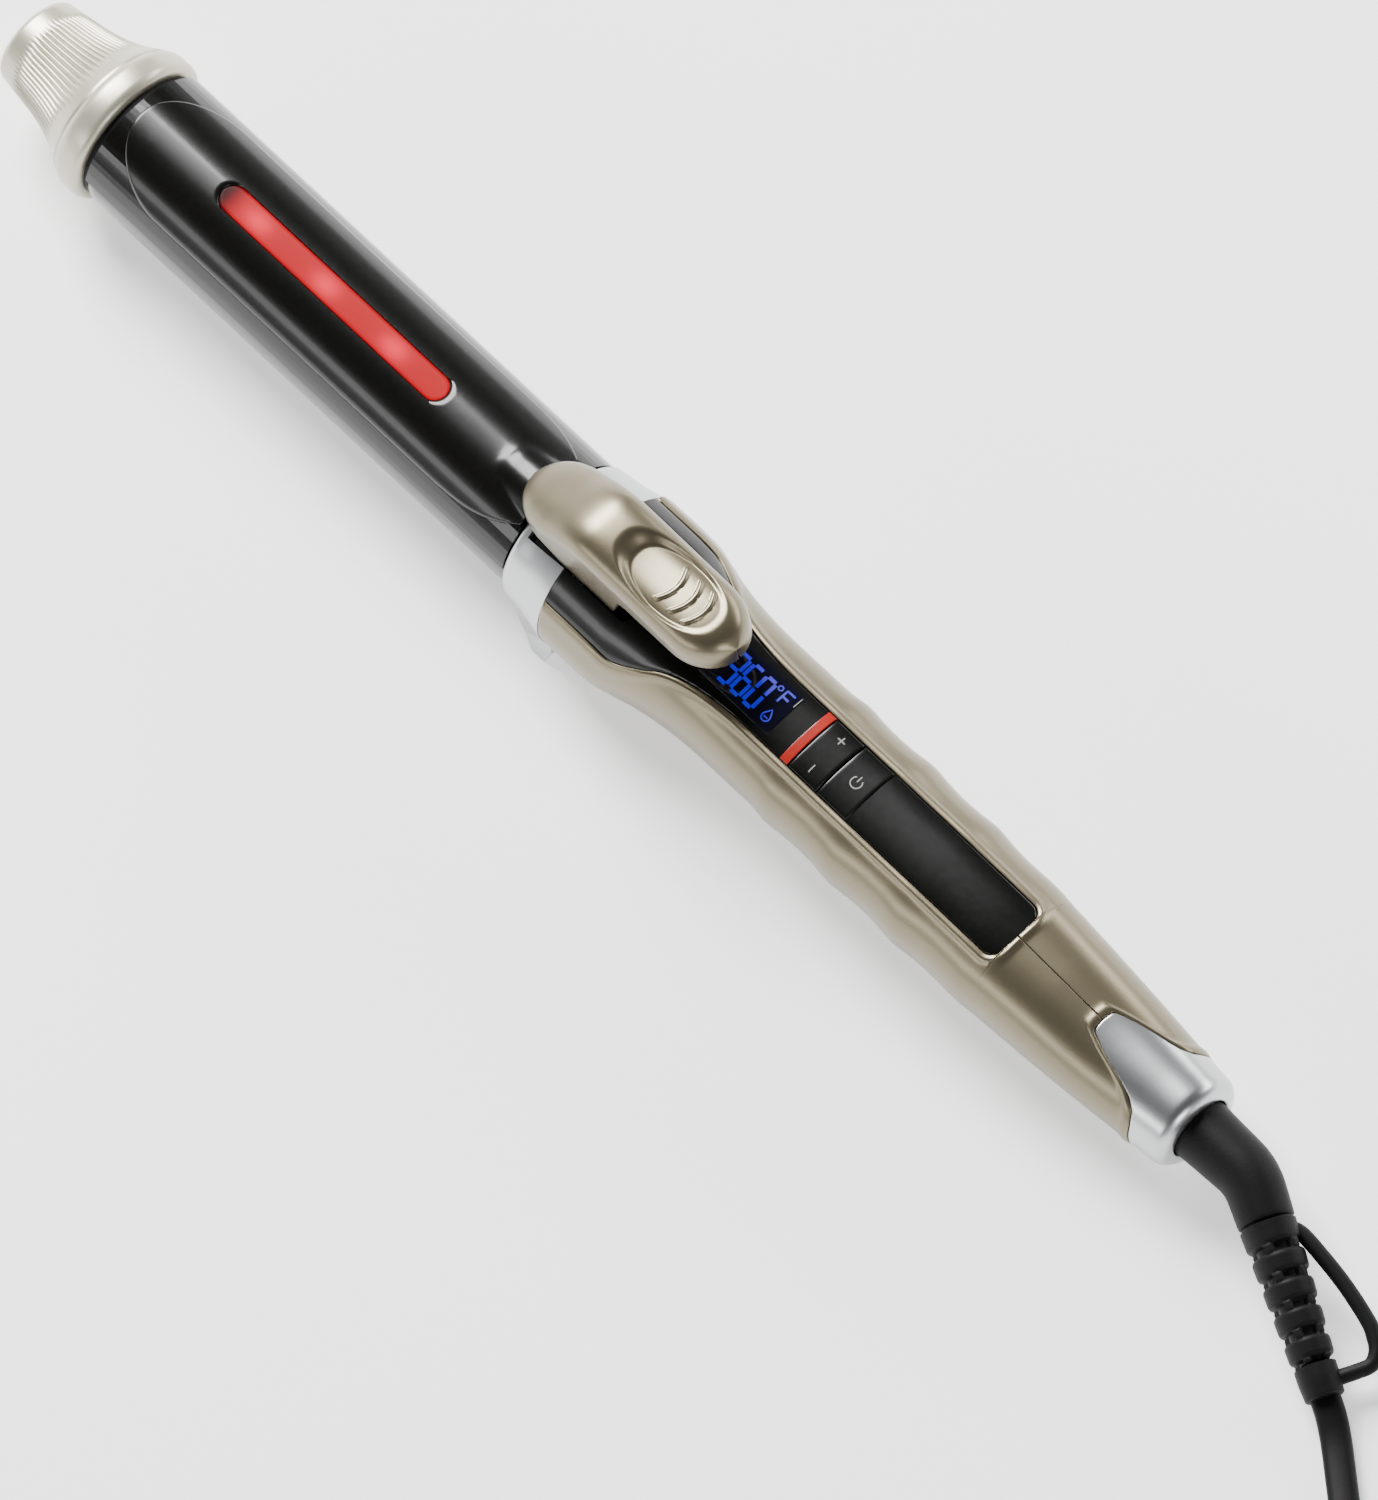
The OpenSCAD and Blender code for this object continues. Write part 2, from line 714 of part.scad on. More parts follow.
module clip_bracket() {
    seat = 16.95;
    ear_top = pivot_h + 2.2;
    strap_side = [[149, seat], [158.4, seat], [161.2, lever_floor], [187, lever_floor],
        [187, lever_floor + strap], [160.8, lever_floor + strap], [158.1, seat + strap], [149, seat + strap]];
    color("silver") place() difference() {
        union() {
            side_profile(2.9) polygon(strap_side);
            for (y = [-2.5, 2.5]) translate([0, y, 0]) side_profile(0.4)
                polygon([for (p = [[-4, 20], [-2.4, ear_top], [2.4, ear_top], [5, 20]]) p + [pivot_x, 0]]);
        }
        cross_rod(pivot_x, pivot_h, 10, pin_r + hair);
        for (x = rivet_x) upright(x, 0, 10, 25, rivet_r + hair);
        for (x = screw_x) upright(x, 0, 10, 25, 1.1);
    }
}

module clip_rivets() {
    color("gainsboro") place() for (x = rivet_x) {
        upright(x, 0, 16.3, 18, rivet_r);
        upright(x, 0, 17.7, 18.05, 1.9);
    }
}

// ---- lever ----

nose_x = lever_start + lever_tip;
rear_x = lever_end - lever_tip;
screw_x = [173, 178.5];
// x, top height
lever_top_rows = [[155, 20.9], [156, 22], [158, 23.8], [162, 26.6], [168, 30.2], [173.5, 33.6], [178, 35.5],
    [182, 35.8], [190, 35.4], [200, 34.9], [208, 34.5], [212.5, 34], [215.5, 32.8], [218.5, 30]];
// x, height of the lower edge
lever_foot_rows = [[155, 20.5], [163, 20.2], [169.6, 18.2], [174, 16.6], [178, 16.4], [186, 16.4],
    [187.4, 16.6], [188.8, 19], [189.8, 22.6], [191.6, 25.4], [196, 25.8], [220, 26]];

function lever_width(x, inset) =
    let (past = max(0, nose_x - x, x - rear_x) / (lever_tip - inset))
    (lever_half - inset) * sqrt(max(0, 1 - past ^ 2));

// Upright sides below, a rounded crown above.
function lever_ring(x, inset, crown_limit) =
    let (w = max(0.05, lever_width(x, inset)), top = min(at(x, lever_top_rows)[1] - inset, crown_limit),
        foot = inset > 0 ? 10 : at(x, lever_foot_rows)[1], drop = min(6 - inset, (top - foot) * 0.8), n = 14)
    concat([[x, -w, foot]],
        [for (i = [0:n]) let (a = 180 * i / n)
            [x, -w * signed_power(cos(a), 0.75), top - drop + drop * abs(sin(a)) ^ 0.75]],
        [[x, w, foot]]);

end_angles = [4, for (a = [12:12:84]) a];

function lever_stations(inset) = concat(
    [for (a = end_angles) nose_x - (lever_tip - inset) * cos(a)],
    [for (x = [nose_x + 2:3:186]) x], [187.4, 188.4, 189.2, 190, 191, 192.6, 195, 199, 203],
    [for (i = [len(end_angles) - 1:-1:0]) rear_x + (lever_tip - inset) * cos(end_angles[i])]);

module thumb_lever() {
    color([0.66, 0.64, 0.56]) place() as_mesh() difference() {
        union() {
            difference() {
                loft([for (x = lever_stations(0)) lever_ring(x, 0, far)]);
                loft([for (x = lever_stations(lever_wall)) lever_ring(x, lever_wall, 30.4)]);
            }
            for (x = screw_x) upright(x, 0, lever_floor + strap + hair, 31, 2.2, $fn = 24);
        }
        for (x = screw_x) upright(x, 0, 18, 28, 1, $fn = 24);
        translate([198.3, 0, 38.2]) scale([14.75, 7.6, 6.4]) sphere(1, $fn = 40);
    }
}

module lever_screws() {
    color("silver") place() for (x = screw_x) {
        upright(x, 0, 19.4, 27, 0.9);
        upright(x, 0, 18.9, 19.8, 1.9);
    }
}

// ---- keys ----

module rocker_key() {
    color([0.07, 0.07, 0.07]) place() as_mesh() {
        skin_patch(stripe_end + 0.3, key_seam - 0.12, strip_half - 0.05, 0, 1.3);
        for (y = [-4, 4]) block([241.2, y - 0.8, 10.65], [242.8, y + 0.8, 13.9]);
    }
}

module power_key() {
    color([0.07, 0.07, 0.07]) place() as_mesh() {
        skin_patch(key_seam + 0.12, key_end - 0.2, strip_half - 0.05, 0, 1.3);
        block([249.9, -0.8, 10.95], [251.5, 0.8, 14]);
    }
}

// ---- cord ----

exit_point = [elbow_x - mid_x, 0, axis_h + tail_h] + relief_end * relief_dir;
coil_centre = [296.7, -25.5];
coil_inner = coil_mean_r - 10.2;
coil_outer = coil_mean_r + 10.2;
coil_height = 13;
// The lead from the strain relief to the coil, in the part's own frame
lead_points = [exit_point, [228, -25.4, 2.7], [236, -31.4, 2.2], [248, -40.4, 2.2],
    [260, -49.4, 2.2], [272, -58.4, 2.2]];
// The plug lies on the coil: the cord's last stretch curves round to it on top of the turns
plug_place = [328.7, -35.5, 21];
end_bend_r = 27;
end_points = [for (a = [-125:25:0])
    [plug_place[0] - end_bend_r + end_bend_r * cos(a), plug_place[1] + end_bend_r * sin(a),
        15.2 + 5.8 * (a + 125) / 125]];

function unit(v) = v / norm(v);

// A flat tube swept along points, its width kept level.
module flat_tube(points) {
    n = len(points);
    rings = [for (i = [0:n - 1])
        let (d = unit(points[min(i + 1, n - 1)] - points[max(i - 1, 0)]))
        let (side = unit(cross([0, 0, 1], d)), up = cross(d, side))
        [for (a = [0:45:315]) points[i] + cord_w / 2 * cos(a) * side + cord_t / 2 * sin(a) * up]];
    loft(rings);
}

module cord_lead() {
    color([0.08, 0.08, 0.08]) flat_tube(lead_points);
}

module cord_coil() {
    color([0.08, 0.08, 0.08]) translate(coil_centre) difference() {
        cylinder(h = coil_height, r = coil_outer);
        translate([0, 0, -1]) cylinder(h = coil_height + 2, r = coil_inner);
    }
}

module cord_end() {
    color([0.08, 0.08, 0.08]) flat_tube(end_points);
}

module plug_body() {
    color([0.08, 0.08, 0.08]) translate(plug_place) rotate([0, 0, -90]) {
        block([-38, -12, -8], [-12, 12, 7.5]);
        rotate([0, -90, 0]) cylinder(h = 12.5, r1 = 4, r2 = 6);
    }
}

module plug_blades() {
    color("gold") translate(plug_place) rotate([0, 0, -90])
        for (y = [-6.35, 6.35]) block([-55, y - 0.75, -3.2], [-38, y + 0.75, 3.2]);
}

cool_tip_cap();
tip_insulator_ring();
tip_screw();
barrel();
barrel_nose_plug();
heat_spreader_upper();
heat_spreader_lower();
ptc_heater();
thermistor();
thermal_fuse();
heater_leads();
barrel_base_insulator();
collar_ring();
hinge_bracket();
hinge_pin();
lever_spring();
handle_shell_left();
handle_shell_right();
control_panel();
display_window();
display_module();
accent_stripe();
display_board();
tact_switches();
power_board();
power_components();
terminal_block();
shell_screws();
tail_cap();
swivel_bush();
slip_ring_brushes();
clip_plate();
clip_cover();
light_window();
lamp_strip();
lamps();
clip_bracket();
clip_rivets();
thumb_lever();
lever_screws();
rocker_key();
power_key();
swivel_elbow();
slip_rings();
strain_relief();
hang_loop();
cord_lead();
cord_coil();
cord_end();
plug_body();
plug_blades();
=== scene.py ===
"""A curling iron with a spring clip, a lit window, a display and a swivel cord.

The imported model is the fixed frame. Each operator below makes one piece, or one group
of like pieces, over it.
"""

import math

import bmesh
import bpy
from mathutils import Matrix, Vector


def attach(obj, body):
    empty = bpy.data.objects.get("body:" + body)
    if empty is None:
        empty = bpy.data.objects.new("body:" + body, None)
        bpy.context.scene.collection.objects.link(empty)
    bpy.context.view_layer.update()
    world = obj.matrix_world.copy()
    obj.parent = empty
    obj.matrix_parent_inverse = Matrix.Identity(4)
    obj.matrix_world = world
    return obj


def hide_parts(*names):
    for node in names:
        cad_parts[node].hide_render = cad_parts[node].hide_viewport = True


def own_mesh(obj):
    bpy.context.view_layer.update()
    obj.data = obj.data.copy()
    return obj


bl_info = {
    "name": "Curling iron",
    "version": (1, 0, 0),
    "blender": (4, 5, 0),
    "location": "3D View > Sidebar > Iron",
    "description": "Shells, controls, clip, lever and cord of a curling iron",
    "category": "Object",
}

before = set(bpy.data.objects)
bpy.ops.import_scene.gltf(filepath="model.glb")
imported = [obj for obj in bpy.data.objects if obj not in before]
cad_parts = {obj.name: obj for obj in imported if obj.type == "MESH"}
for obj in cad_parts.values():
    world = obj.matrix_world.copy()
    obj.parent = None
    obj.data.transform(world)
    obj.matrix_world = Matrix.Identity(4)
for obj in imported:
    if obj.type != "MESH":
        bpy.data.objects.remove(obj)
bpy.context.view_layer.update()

MM = 0.001
MERGE = 1e-7

# Places and sizes are in mm: x backwards from the tip, y to the left, and heights above
# the barrel's axis. MID_X and AXIS_H put them in the frame.
MID_X = 188.0
AXIS_H = 18.0
# Cool tip: the rear of its flange, the flange's radius and its rounding
TIP_END, TIP_RADIUS, TIP_ROUND = 32.1, 17.95, 2.2
# Barrel tube: front, rear, outer and inner radius
BARREL = (33.4, 174.2, 15.9, 14.8)
# Clip cover: front, length of its rounded front, half width, start of its taper, rear
COVER_START, COVER_ROUND, COVER_HALF, COVER_TAPER, COVER_END = 35.9, 17.0, 13.4, 138.0, 159.4
# Light window: front, rear and half width; and the lamps under it
WINDOW = (61.0, 128.0, 3.1)
LAMPS = (71.5, 92.0, 112.5)
# Thumb lever: front, rear, half width and length of its rounded ends
LEVER = (155.5, 218.0, 9.0, 11.0)
# Thumb scoop: middle, half length and half width; and the ridges in it
SCOOP = (198.4, 14.8, 7.35)
RIDGES = (200.3, 204.6, 208.5)
# Grip: its front, and the points that round its front edge
HANDLE_START = 174.0
HANDLE_FRONT = [HANDLE_START, HANDLE_START + 0.1, HANDLE_START + 0.3]
# Black strip behind the lever: half width, rear and corner radius
STRIP_HALF, STRIP_END, STRIP_CORNER = 7.2, 298.8, 3.0
# Well that the lever sinks into: floor, half width, rear and corner radius
WELL_FLOOR, WELL_HALF, WELL_END, WELL_CORNER = 11.2, 9.4, 192.0, 2.5
# Display: front, rear and half width
DISPLAY = (209.8, 230.0, 5.55)
# Stripe, then the rocking key and the power key behind it, edge to edge
STRIPE = (235.3, 237.7)
KEYS = (237.7, 246.2, 255.2)
# Tail cap: rear, height of the bore's axis, and rounding of its rim
TAIL_END, TAIL_H, TAIL_ROUND = 351.0, -3.0, 3.2
# Elbow: where its axis bends, how far, and which way it is swivelled
ELBOW_X = 366.0
ELBOW_ANGLE = math.radians(28.8)
ELBOW_TURN = math.radians(-64)
# Strain relief: its ends, measured from the elbow's bend, and the end of its segments
RELIEF = (11.2, 48.8)
SEGMENTS_END = 41.6

# x, half width, top, depth below the axis, level of the widest point, squareness
HANDLE_ROWS = [
    (168, 19.5, 19.6, 17.6, 1, 2),
    (187, 19.5, 19.5, 17.6, 1, 2),
    (193, 18.3, 18.9, 17.2, 1.4, 2),
    (198, 17, 18, 16.2, 1.8, 2.1),
    (204, 16, 17.1, 14.8, 2.2, 2.2),
    (212, 15.3, 16.4, 13.2, 2.5, 2.3),
    (222, 15.2, 15.9, 12.2, 2.6, 2.35),
    (250, 15.6, 14.7, 12, 2.5, 2.35),
    (290, 15.4, 13.5, 13, 0.5, 2.3),
    (310, 14.4, 11.6, 13.6, -0.8, 2.2),
    (326, 13.3, 9.4, 14, -1.8, 2.1),
    (340, 12.1, 8.5, 14.2, -2.6, 2),
    (351, 11.2, 8.2, 14.2, -3, 2),
    (360, 10.6, 7.6, 13.6, -3, 2),
]
# x and half width of the black panel
PANEL_ROWS = [
    (187, 16),
    (193, 15.6),
    (199.8, 12.9),
    (203.6, 10.8),
    (208, 9.2),
    (214, 8),
    (222, 7.3),
    (232, STRIP_HALF),
    (240, STRIP_HALF),
]
# y, and the x of the tail cap's front edge there
TAIL_ROWS = [
    (0, 323.6), (2.4, 323.8), (3.1, 324.4), (5, 330), (6.3, 335.5), (7.3, 338.6), (8.8, 340.8),
    (11, 341.8), (15, 342),
]
# x and radius of the cool tip
TIP_ROWS = [(2, 10.4), (7.5, 11.2), (12, 11.9), (16.4, 13), (20.8, 14.8), (25.2, 17.2)]
# x and height of the lever's top, then of its lower edge
LEVER_TOP = [
    (155, 20.9), (156, 22), (158, 23.8), (162, 26.6), (168, 30.2), (173.5, 33.6), (178, 35.5),
    (182, 35.8), (190, 35.4), (200, 34.9), (208, 34.5), (212.5, 34), (215.5, 32.8),
    (218.5, 30),
]
LEVER_FOOT = [
    (155, 20.5), (163, 20.2), (169.6, 18.2), (174, 16.6), (178, 16.4), (186, 16.4),
    (187.4, 16.6), (188.8, 19), (189.8, 22.6), (191.6, 25.4), (196, 25.8), (220, 26),
]
# x and half width of the clip cover's taper
COVER_ROWS = [(138, 13.4), (146, 13), (151.5, 12), (156, 10.4), (159.9, 8.4)]


# ---- sizes and curves ----


def spot(x, y, h):
    """A point x behind the tip, y to the left and h above the barrel's axis, in mm."""
    return Vector((x - MID_X, y, h + AXIS_H)) * MM


def hermite(p, m, q, n, u):
    """A cubic from p to q at a share u of the way, with slopes m and n at its ends."""
    rise = 3 * u**2 - 2 * u**3
    return (1 - rise) * p + (u**3 - 2 * u**2 + u) * m + rise * q + (u**3 - u**2) * n


def slope(rows, i):
    """Slopes of every column of a table at row i."""
    a, b = rows[max(i - 1, 0)], rows[min(i + 1, len(rows) - 1)]
    return [(q - p) / (b[0] - a[0]) for p, q in zip(a, b)]


def row_before(x, rows):
    """Index of the last row before x that has a row behind it."""
    i = 0
    while i < len(rows) - 2 and x >= rows[i + 1][0]:
        i += 1
    return i


def along_rows(x, rows):
    """A smooth curve through rows that start with x."""
    i = row_before(x, rows)
    span = rows[i + 1][0] - rows[i][0]
    u = (x - rows[i][0]) / span
    starts, ends = slope(rows, i), slope(rows, i + 1)
    return [
        hermite(p, span * m, q, span * n, u)
        for p, m, q, n in zip(rows[i], starts, rows[i + 1], ends)
    ]


def straight_rows(x, rows):
    """Straight lines through rows of two numbers."""
    i = row_before(x, rows)
    (x0, y0), (x1, y1) = rows[i], rows[i + 1]
    return y0 + (y1 - y0) * clamp((x - x0) / (x1 - x0))


def clamp(value, low=0.0, high=1.0):
    """The value, kept between two limits."""
    return min(max(value, low), high)


def ease(value):
    """A smooth step from 0 to 1."""
    t = clamp(value)
    return t * t * (3 - 2 * t)


def steps(low, high, size):
    """Numbers from low to high, about size apart."""
    count = max(1, round((high - low) / size))
    return [low + (high - low) * i / count for i in range(count + 1)]


def joined(*runs):
    """Runs of numbers put together, sorted, with repeats left out."""
    out = []
    for value in sorted(v for run in runs for v in run):
        if not out or value - out[-1] > 1e-6:
            out.append(value)
    return out


def angles(first, last, step):
    """Angles in radians, from a range of degrees that includes the last."""
    return [math.radians(d) for d in range(first, last + 1, step)]


def rounded_ends(start, end, radius, turns):
    """Distances that crowd towards the two rounded ends of an outline."""
    insets = [radius * (1 - math.cos(a)) for a in turns]
    return [start + d for d in insets] + [end - d for d in insets]


def power(value, exponent):
    """A power that keeps the sign."""
    return math.copysign(abs(value) ** exponent, value)


def finger_wave(x):
    """The shallow dips for the fingers along the sides of the grip."""
    fade = clamp((x - 226) / 10) * clamp((304 - x) / 24)
    wave = math.sin(math.pi * (x - 237.5) / 19) ** 2
    return 0.4 * fade * (1.3 - 2 * math.sqrt(wave + 0.03))


def grip_row(x):
    """Half width, top, depth, widest level and squareness of the handle at x."""
    _, half, top, depth, level, square = along_rows(x, HANDLE_ROWS)
    return half + finger_wave(x), top, depth, level, square


def grip_point(x, angle, out=0.0):
    """A point on the handle's skin; angle 0 is the right side and a quarter turn the top."""
    half, top, depth, level, square = grip_row(x)
    p = 2 / square
    s = math.sin(angle)
    rise = top - level if s > 0 else depth + level
    return (x, -(half + out) * power(math.cos(angle), p), level + (rise + out) * power(s, p))


def grip_angle(x, y):
    """The angle on the upper half of the skin at which it stands at y."""
    half, _, _, _, square = grip_row(x)
    c = clamp(abs(y) / half) ** (square / 2)
    return math.pi / 2 + math.copysign(math.asin(clamp(c)), y)


def grip_top(x, y):
    """Height of the handle's upper skin at x and y."""
    return grip_point(x, grip_angle(x, y))[2]


def strip_half_at(x):
    """Half width of the black panel's outline at x, seen from above."""
    if x < 187:
        return 16.0
    half = along_rows(min(x, 236), PANEL_ROWS)[1]
    past = x - (STRIP_END - STRIP_CORNER)
    if past > STRIP_CORNER:
        return 0.0
    if past > 0:
        return half - STRIP_CORNER + math.sqrt(STRIP_CORNER**2 - past**2)
    return half


def from_strip(x, y):
    """How far a point is outside the black panel's outline."""
    past = x - (STRIP_END - STRIP_CORNER)
    if past <= 0:
        return abs(y) - strip_half_at(x)
    wide = max(abs(y) - (STRIP_HALF - STRIP_CORNER), 0)
    return math.hypot(past, wide) - STRIP_CORNER


def tail_edge(y):
    """Where the tail cap's front edge stands at y."""
    return straight_rows(abs(y), TAIL_ROWS)


def down_relief(x, y, z):
    """From distances along and across the strain relief to distances from the tip."""
    turn = Matrix.Rotation(ELBOW_TURN, 3, "X") @ Matrix.Rotation(ELBOW_ANGLE, 3, "Y")
    p = turn @ Vector((x, y, z))
    return p + Vector((ELBOW_X, 0, TAIL_H))


# ---- mesh tools ----


def shaped_grid(bm, across, along, place):
    """A grid whose points, counted from 0, are put where place(i, j) says."""
    made = bmesh.ops.create_grid(bm, x_segments=across, y_segments=along, size=1.0)
    for vert in made["verts"]:
        i = round((vert.co.x + 1) / 2 * across)
        j = round((vert.co.y + 1) / 2 * along)
        vert.co = place(i, j)
    return made["verts"]


def tube(bm, centres, ring, sides):
    """A closed skin through rings; ring(k, turn) gives the points of ring k."""
    last = len(centres) - 1
    verts = shaped_grid(bm, sides, last, lambda i, j: ring(j, 2 * math.pi * (i % sides) / sides))
    bmesh.ops.remove_doubles(bm, verts=verts, dist=MERGE)
    bmesh.ops.holes_fill(bm, edges=[e for e in bm.edges if e.is_boundary], sides=0)
    bmesh.ops.recalc_face_normals(bm, faces=bm.faces)


def barrel_line(point):
    """The nearest point on the barrel's axis."""
    return Vector((point.x, 0, AXIS_H * MM))


def face_out(bm, middle=barrel_line):
    """Turns an open skin so that it faces away from middle(point)."""
    bmesh.ops.recalc_face_normals(bm, faces=bm.faces)
    bm.normal_update()
    total = 0.0
    for face in bm.faces:
        centre = face.calc_center_median()
        total += face.normal.dot(centre - middle(centre)) * face.calc_area()
    if total < 0:
        bmesh.ops.reverse_faces(bm, faces=bm.faces)


def turned(profile, sides, closed=False):
    """A skin turned round the barrel's axis from distances and radii."""
    bm = bmesh.new()
    verts = [bm.verts.new(spot(x, 0, r)) for x, r in profile]
    edges = [bm.edges.new(pair) for pair in zip(verts, verts[1:] + verts[:closed])]
    bmesh.ops.spin(
        bm,
        geom=verts + edges,
        cent=spot(0, 0, 0),
        axis=(1, 0, 0),
        angle=2 * math.pi,
        steps=sides,
        use_merge=True,
    )
    bmesh.ops.remove_doubles(bm, verts=bm.verts, dist=MERGE)
    bmesh.ops.recalc_face_normals(bm, faces=bm.faces)
    return bm


def finished(name, bm, look, body, stands_for=(), angle=40.0):
    """Makes the mesh an object that rides on a body and stands for CAD nodes."""
    mesh = bpy.data.meshes.new(name)
    bm.to_mesh(mesh)
    bm.free()
    piece = bpy.data.objects.new(name, mesh)
    bpy.context.scene.collection.objects.link(piece)
    mesh.materials.append(look_of(look))
    mesh.shade_smooth()
    mesh.set_sharp_from_angle(angle=math.radians(angle))
    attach(piece, body)
    if stands_for:
        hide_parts(*stands_for)
    return piece


def wall(piece, thickness):
    """Gives an open skin a wall on its inner side."""
    solid = piece.modifiers.new("Wall", "SOLIDIFY")
    solid.thickness = thickness * MM
    solid.offset = -1.0
    return piece


def smooth_copy(name, node, look, body, angle=35.0):
    """A merged, evenly shaded copy of a CAD node, with its own finish."""
    bm = bmesh.new()
    bm.from_mesh(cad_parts[node].data)
    bmesh.ops.remove_doubles(bm, verts=bm.verts, dist=2e-6)
    return finished(name, bm, look, body, (node,), angle)


def dress(look, *nodes):
    """Gives CAD nodes that stay as they are a finish."""
    for node in nodes:
        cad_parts[node].data.materials[0] = look_of(look)


# ---- finishes ----


class Wire:
    """A value in a material, which takes part in sums written as Python."""

    def __init__(self, finish, socket):
        self.finish = finish
        self.socket = socket

    def math(self, operation, *terms):
        """One Math node on this value and other terms."""
        return self.finish.math(operation, self, *terms)

    def __add__(self, other):
        return self.finish.math("ADD", self, other)

    __radd__ = __add__

    def __sub__(self, other):
        return self.finish.math("SUBTRACT", self, other)

    def __rsub__(self, other):
        return self.finish.math("SUBTRACT", other, self)

    def __mul__(self, other):
        return self.finish.math("MULTIPLY", self, other)

    __rmul__ = __mul__

    def __truediv__(self, other):
        return self.finish.math("DIVIDE", self, other)

    def __abs__(self):
        return self.finish.math("ABSOLUTE", self)

    def between(self, low, high):
        """A smooth step from 0 at low to 1 at high."""
        node = self.finish.node(
            "ShaderNodeMapRange",
            {"interpolation_type": "SMOOTHSTEP"},
            {"Value": self, "From Min": low, "From Max": high},
        )
        return Wire(self.finish, node.outputs["Result"])


class Finish:
    """One material: its shader's steady values, and the nodes that vary it."""

    def __init__(self, name, **steady):
        self.material = bpy.data.materials.new(name)
        self.material.use_nodes = True
        self.tree = self.material.node_tree
        self.shader = self.tree.nodes["Principled BSDF"]
        for key, value in steady.items():
            label = key.replace("_", " ").title().replace("Ior", "IOR")
            self.shader.inputs[label].default_value = value

    def node(self, kind, settings=None, values=None):
        """Adds a node, with its settings first, then the values or wires of its sockets."""
        made = self.tree.nodes.new(kind)
        for key, value in (settings or {}).items():
            setattr(made, key, value)
        for key, value in (values or {}).items():
            self.join(made.inputs[key], value)
        return made

    def join(self, socket, value):
        """Links a wire to a socket, or sets a plain value on it."""
        if isinstance(value, Wire):
            self.tree.links.new(value.socket, socket)
        else:
            socket.default_value = value

    def math(self, operation, *terms):
        """One Math node on up to three terms."""
        made = self.node("ShaderNodeMath", {"operation": operation})
        for socket, term in zip(made.inputs, terms):
            self.join(socket, term)
        return Wire(self, made.outputs[0])

    def where(self):
        """Object coordinates, as a vector."""
        return Wire(self, self.node("ShaderNodeTexCoord").outputs["Object"])

    def axes(self):
        """Object coordinates in metres, as three values."""
        parts = self.node("ShaderNodeSeparateXYZ", None, {"Vector": self.where()})
        return [Wire(self, parts.outputs[k]) for k in "XYZ"]

    def noise(self, scale, detail=3.0, rough=0.6, stretch=(1, 1, 1)):
        """A grain of that many waves a metre, stretched along an axis."""
        fit = self.node("ShaderNodeMapping", None, {"Vector": self.where(), "Scale": stretch})
        made = self.node(
            "ShaderNodeTexNoise",
            None,
            {
                "Vector": Wire(self, fit.outputs["Vector"]),
                "Scale": scale,
                "Detail": detail,
                "Roughness": rough,
            },
        )
        return Wire(self, made.outputs["Fac"])

    def blend(self, share, first, second):
        """A colour between two colours or wires."""
        made = self.node("ShaderNodeMix", {"data_type": "RGBA"})
        for index, value in ((0, share), (6, first), (7, second)):
            self.join(made.inputs[index], value)
        return Wire(self, made.outputs[2])

    def vary(self, socket, value):
        """Feeds a socket of the shader."""
        self.join(self.shader.inputs[socket], value)

    def bump(self, height, depth, strength=1.0):
        """Relief of a depth in mm."""
        made = self.node(
            "ShaderNodeBump",
            None,
            {"Height": height, "Distance": depth * MM, "Strength": strength},
        )
        self.vary("Normal", Wire(self, made.outputs["Normal"]))


def darker(colour, share):
    """A colour with its light cut to a share, as red, green, blue and alpha."""
    return tuple(c * share for c in colour[:3]) + (1.0,)


def lacquer(name, colour, metallic, roughness, grain=0.012):
    """Satin lacquer on moulded plastic, with a fine pearl grain."""
    look = Finish(name, metallic=metallic, coat_weight=0.15, coat_roughness=0.25)
    pearl = look.noise(2600, 2.0)
    cloud = look.noise(28, 2.0)
    look.vary("Base Color", look.blend(cloud, darker(colour, 0.95), darker(colour, 1.03)))
    look.vary("Roughness", roughness - 0.05 + 0.1 * pearl)
    look.bump(pearl, grain)
    return look.material


def gloss(name, colour, roughness=0.16, coat=0.4):
    """Polished black plastic with the faint ripple of a moulded skin."""
    look = Finish(name, coat_weight=coat, coat_roughness=0.06, specular_ior_level=0.3)
    ripple = look.noise(90, 2.0)
    haze = look.noise(700, 3.0)
    look.vary("Base Color", look.blend(haze, darker(colour, 0.9), darker(colour, 1.15)))
    look.vary("Roughness", roughness - 0.03 + 0.06 * haze)
    look.bump(ripple, 0.02, 0.4)
    return look.material


def matte(name, colour, roughness=0.55, scale=1500, depth=0.05):
    """Fine-grained moulded plastic or rubber."""
    look = Finish(name, specular_ior_level=0.14)
    grain = look.noise(scale, 4.0, 0.7)
    broad = look.noise(60, 2.0)
    look.vary("Base Color", look.blend(grain, darker(colour, 0.8), darker(colour, 1.2)))
    look.vary("Roughness", roughness - 0.06 + 0.12 * broad)
    look.bump(grain, depth)
    return look.material


def pale_floor(name, colour):
    """Even pale paper, which gives a little light of its own."""
    look = Finish(name, roughness=0.8, emission_strength=0.9)
    cloud = look.noise(3, 2.0)
    look.vary("Base Color", look.blend(cloud, darker(colour, 0.99), darker(colour, 1.01)))
    look.shader.inputs["Emission Color"].default_value = (*colour, 1)
    return look.material


def plain_metal(name, colour, roughness=0.32):
    """Turned or stamped metal with fine lines along the iron."""
    look = Finish(name, metallic=1.0)
    lines = look.noise(900, 2.0, 0.5, (0.05, 1, 1))
    look.vary("Base Color", look.blend(lines, darker(colour, 0.9), darker(colour, 1.05)))
    look.vary("Roughness", roughness - 0.06 + 0.14 * lines)
    look.bump(lines, 0.008)
    return look.material


